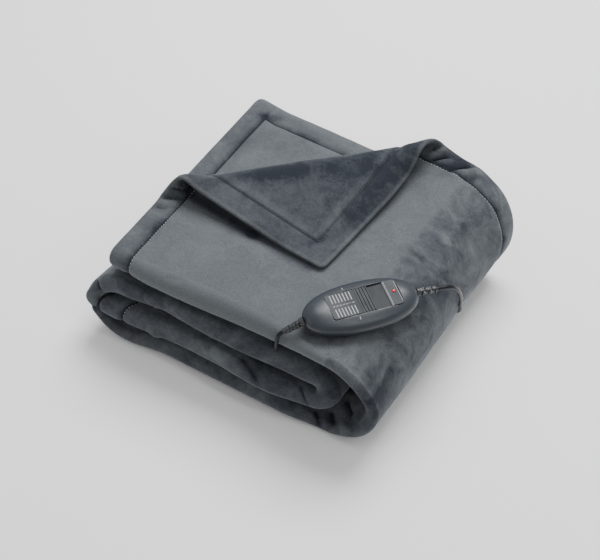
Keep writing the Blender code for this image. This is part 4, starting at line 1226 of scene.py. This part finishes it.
PIN_LONG, PIN_RADIUS, PIN_APART, SLEEVE_LONG = 0.019, 0.0020, 0.0186, 0.010
WAIST = 0.0016                       # radius of a pin inside its sleeve
nickel = Finish("nickel", (0.62, 0.60, 0.56), 0.22, Metallic=1.0)
nickel.ranged(nickel.noise(420, 4, 0.65), 0.3, 0.7, 0.16, 0.34, "Roughness")
nickel.bumped(nickel.noise(1800, 2, 0.5), 0.12, 0.00003)
pins = []
for name, side in (("plug_pin_a", -1), ("plug_pin_b", 1)):
    foot = plug_place @ Matrix.Translation((side * PIN_APART / 2, 0, PLUG_SHAPE[-1][0] - 0.0004))
    bm = bmesh.new()
    tip = PIN_LONG + 0.0006
    turned(bm, [(0.0, tip), (0.0010, tip - 0.0001), (0.0016, tip - 0.0005), (0.00195, tip - 0.0014),
                (PIN_RADIUS, tip - 0.0030), (PIN_RADIUS, SLEEVE_LONG), (WAIST, SLEEVE_LONG), (WAIST, 0),
                (0, 0)], 28)
    pin = new_piece(name + "_metal", bm, nickel.material, foot)
    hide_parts(name)
    bm = bmesh.new()
    turned(bm, [(WAIST, SLEEVE_LONG), (0.00190, SLEEVE_LONG - 0.0001), (0.00192, 0.0), (WAIST, 0.0),
                (WAIST, SLEEVE_LONG)], 28)
    sleeve = new_piece(name + "_sleeve", bm, rubber, foot)
    pins += [pin, sleeve]

# The tie: a thin band round all the turns; its two tails, twisted together on top, are not drawn
TIE_WIDE, TIE_THICK, TIE_ANGLE = 0.0045, 0.00014, math.radians(215)
TIE_CORNER = 0.0007                  # how far its corners are cut across
tie_rubber = soft_rubber("tie_rubber", (0.020, 0.021, 0.023), 0.5)
wall = CORD / 2
inner, outer = COIL_INNER - wall, COIL_OUTER + wall
low, high = FLOOR_CORD - wall, FLOOR_CORD + CORD + COIL_SLACK + wall
band = [(inner + wall, low - TIE_THICK), (outer - wall, low - TIE_THICK),
        (outer - TIE_CORNER, low + TIE_CORNER), (outer + TIE_THICK, low + wall),
        (outer + TIE_THICK, high - wall), (outer - TIE_CORNER, high - TIE_CORNER),
        (outer - wall, high + TIE_THICK), (inner + wall, high + TIE_THICK),
        (inner + TIE_CORNER, high - TIE_CORNER), (inner - TIE_THICK, high - wall),
        (inner - TIE_THICK, low + wall), (inner + TIE_CORNER, low + TIE_CORNER)]
bm = bmesh.new()
loop_verts = [bm.verts.new((radius, -TIE_WIDE / 2, z)) for radius, z in band]
loop_edges = [bm.edges.new((a, b)) for a, b in zip(loop_verts, loop_verts[1:] + loop_verts[:1])]
swept = bmesh.ops.extrude_edge_only(bm, edges=loop_edges)["geom"]
bmesh.ops.translate(bm, verts=[item for item in swept if isinstance(item, bmesh.types.BMVert)],
                    vec=(0, TIE_WIDE, 0))
tie_place = Matrix.Translation((*COIL_AT, 0)) @ Matrix.Rotation(TIE_ANGLE, 4, "Z")
tie = new_piece("coil_tie", bm, tie_rubber, tie_place)
band_wall = tie.modifiers.new("wall", "SOLIDIFY")
band_wall.thickness, band_wall.offset = TIE_THICK, 1.0
for piece in (mains_lead, body, neck, tie, *pins):
    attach(piece, "throw")
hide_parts("mains_lead", "lead_coil", "plug_tail")
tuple(mains_route[0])


# ---------------------------------------------------------------------------------------------
# The camera and the studio.  A long lens looks down on the stack from its front right.  The floor
# is plain and pale, a large soft light hangs above and behind, and the room fills in the rest.
# ---------------------------------------------------------------------------------------------
VIEW_TURN, VIEW_HEIGHT, VIEW_FAR = math.radians(32), math.radians(48.5), 2.2
VIEW_TARGET = Vector((0.009, -0.027, 0.06))
camera_data = bpy.data.cameras.new("camera")
camera_data.lens, camera_data.sensor_width = 109.44, 36.0
camera = in_scene("camera", camera_data)
towards = Vector((math.sin(VIEW_TURN) * math.cos(VIEW_HEIGHT),
                  -math.cos(VIEW_TURN) * math.cos(VIEW_HEIGHT), math.sin(VIEW_HEIGHT)))
camera.location = VIEW_TARGET + towards * VIEW_FAR
camera.rotation_euler = towards.to_track_quat("Z", "Y").to_euler()
bpy.context.scene.camera = camera

paper = Finish("studio_paper", (0.92, 0.92, 0.92), 0.9).material
sheet_mesh = bpy.data.meshes.new("studio_floor")
bm = bmesh.new()
bmesh.ops.create_grid(bm, x_segments=1, y_segments=1, size=6)
bm.to_mesh(sheet_mesh)
bm.free()
sheet_mesh.materials.append(paper)
in_scene("studio_floor", sheet_mesh)

# Columns: name, place, what it points at, width, height, power
LIGHTS = [
    ("light_above", (-0.15, 1.05, 1.95), (0.0, 0.0, 0.1), 1.5, 1.2, 74),
    ("light_side", (0.95, -0.20, 1.75), (0.1, -0.1, 0.1), 0.22, 1.2, 7),
    ("light_front", (-1.60, -1.90, 1.30), (0.1, 0.0, 0.1), 1.2, 1.2, 4),
]
for name, place, aim, wide, high, power in LIGHTS:
    lamp = bpy.data.lights.new(name, "AREA")
    lamp.shape = "RECTANGLE"
    lamp.size, lamp.size_y, lamp.energy = wide, high, power
    holder = in_scene(name, lamp)
    holder.location = place
    holder.rotation_euler = (Vector(place) - Vector(aim)).to_track_quat("Z", "Y").to_euler()
room = bpy.data.worlds.new("studio_room")
room.use_nodes = True
room.node_tree.nodes["Background"].inputs["Color"].default_value = (1.0, 1.0, 1.0, 1.0)
room.node_tree.nodes["Background"].inputs["Strength"].default_value = 0.62
bpy.context.scene.world = room
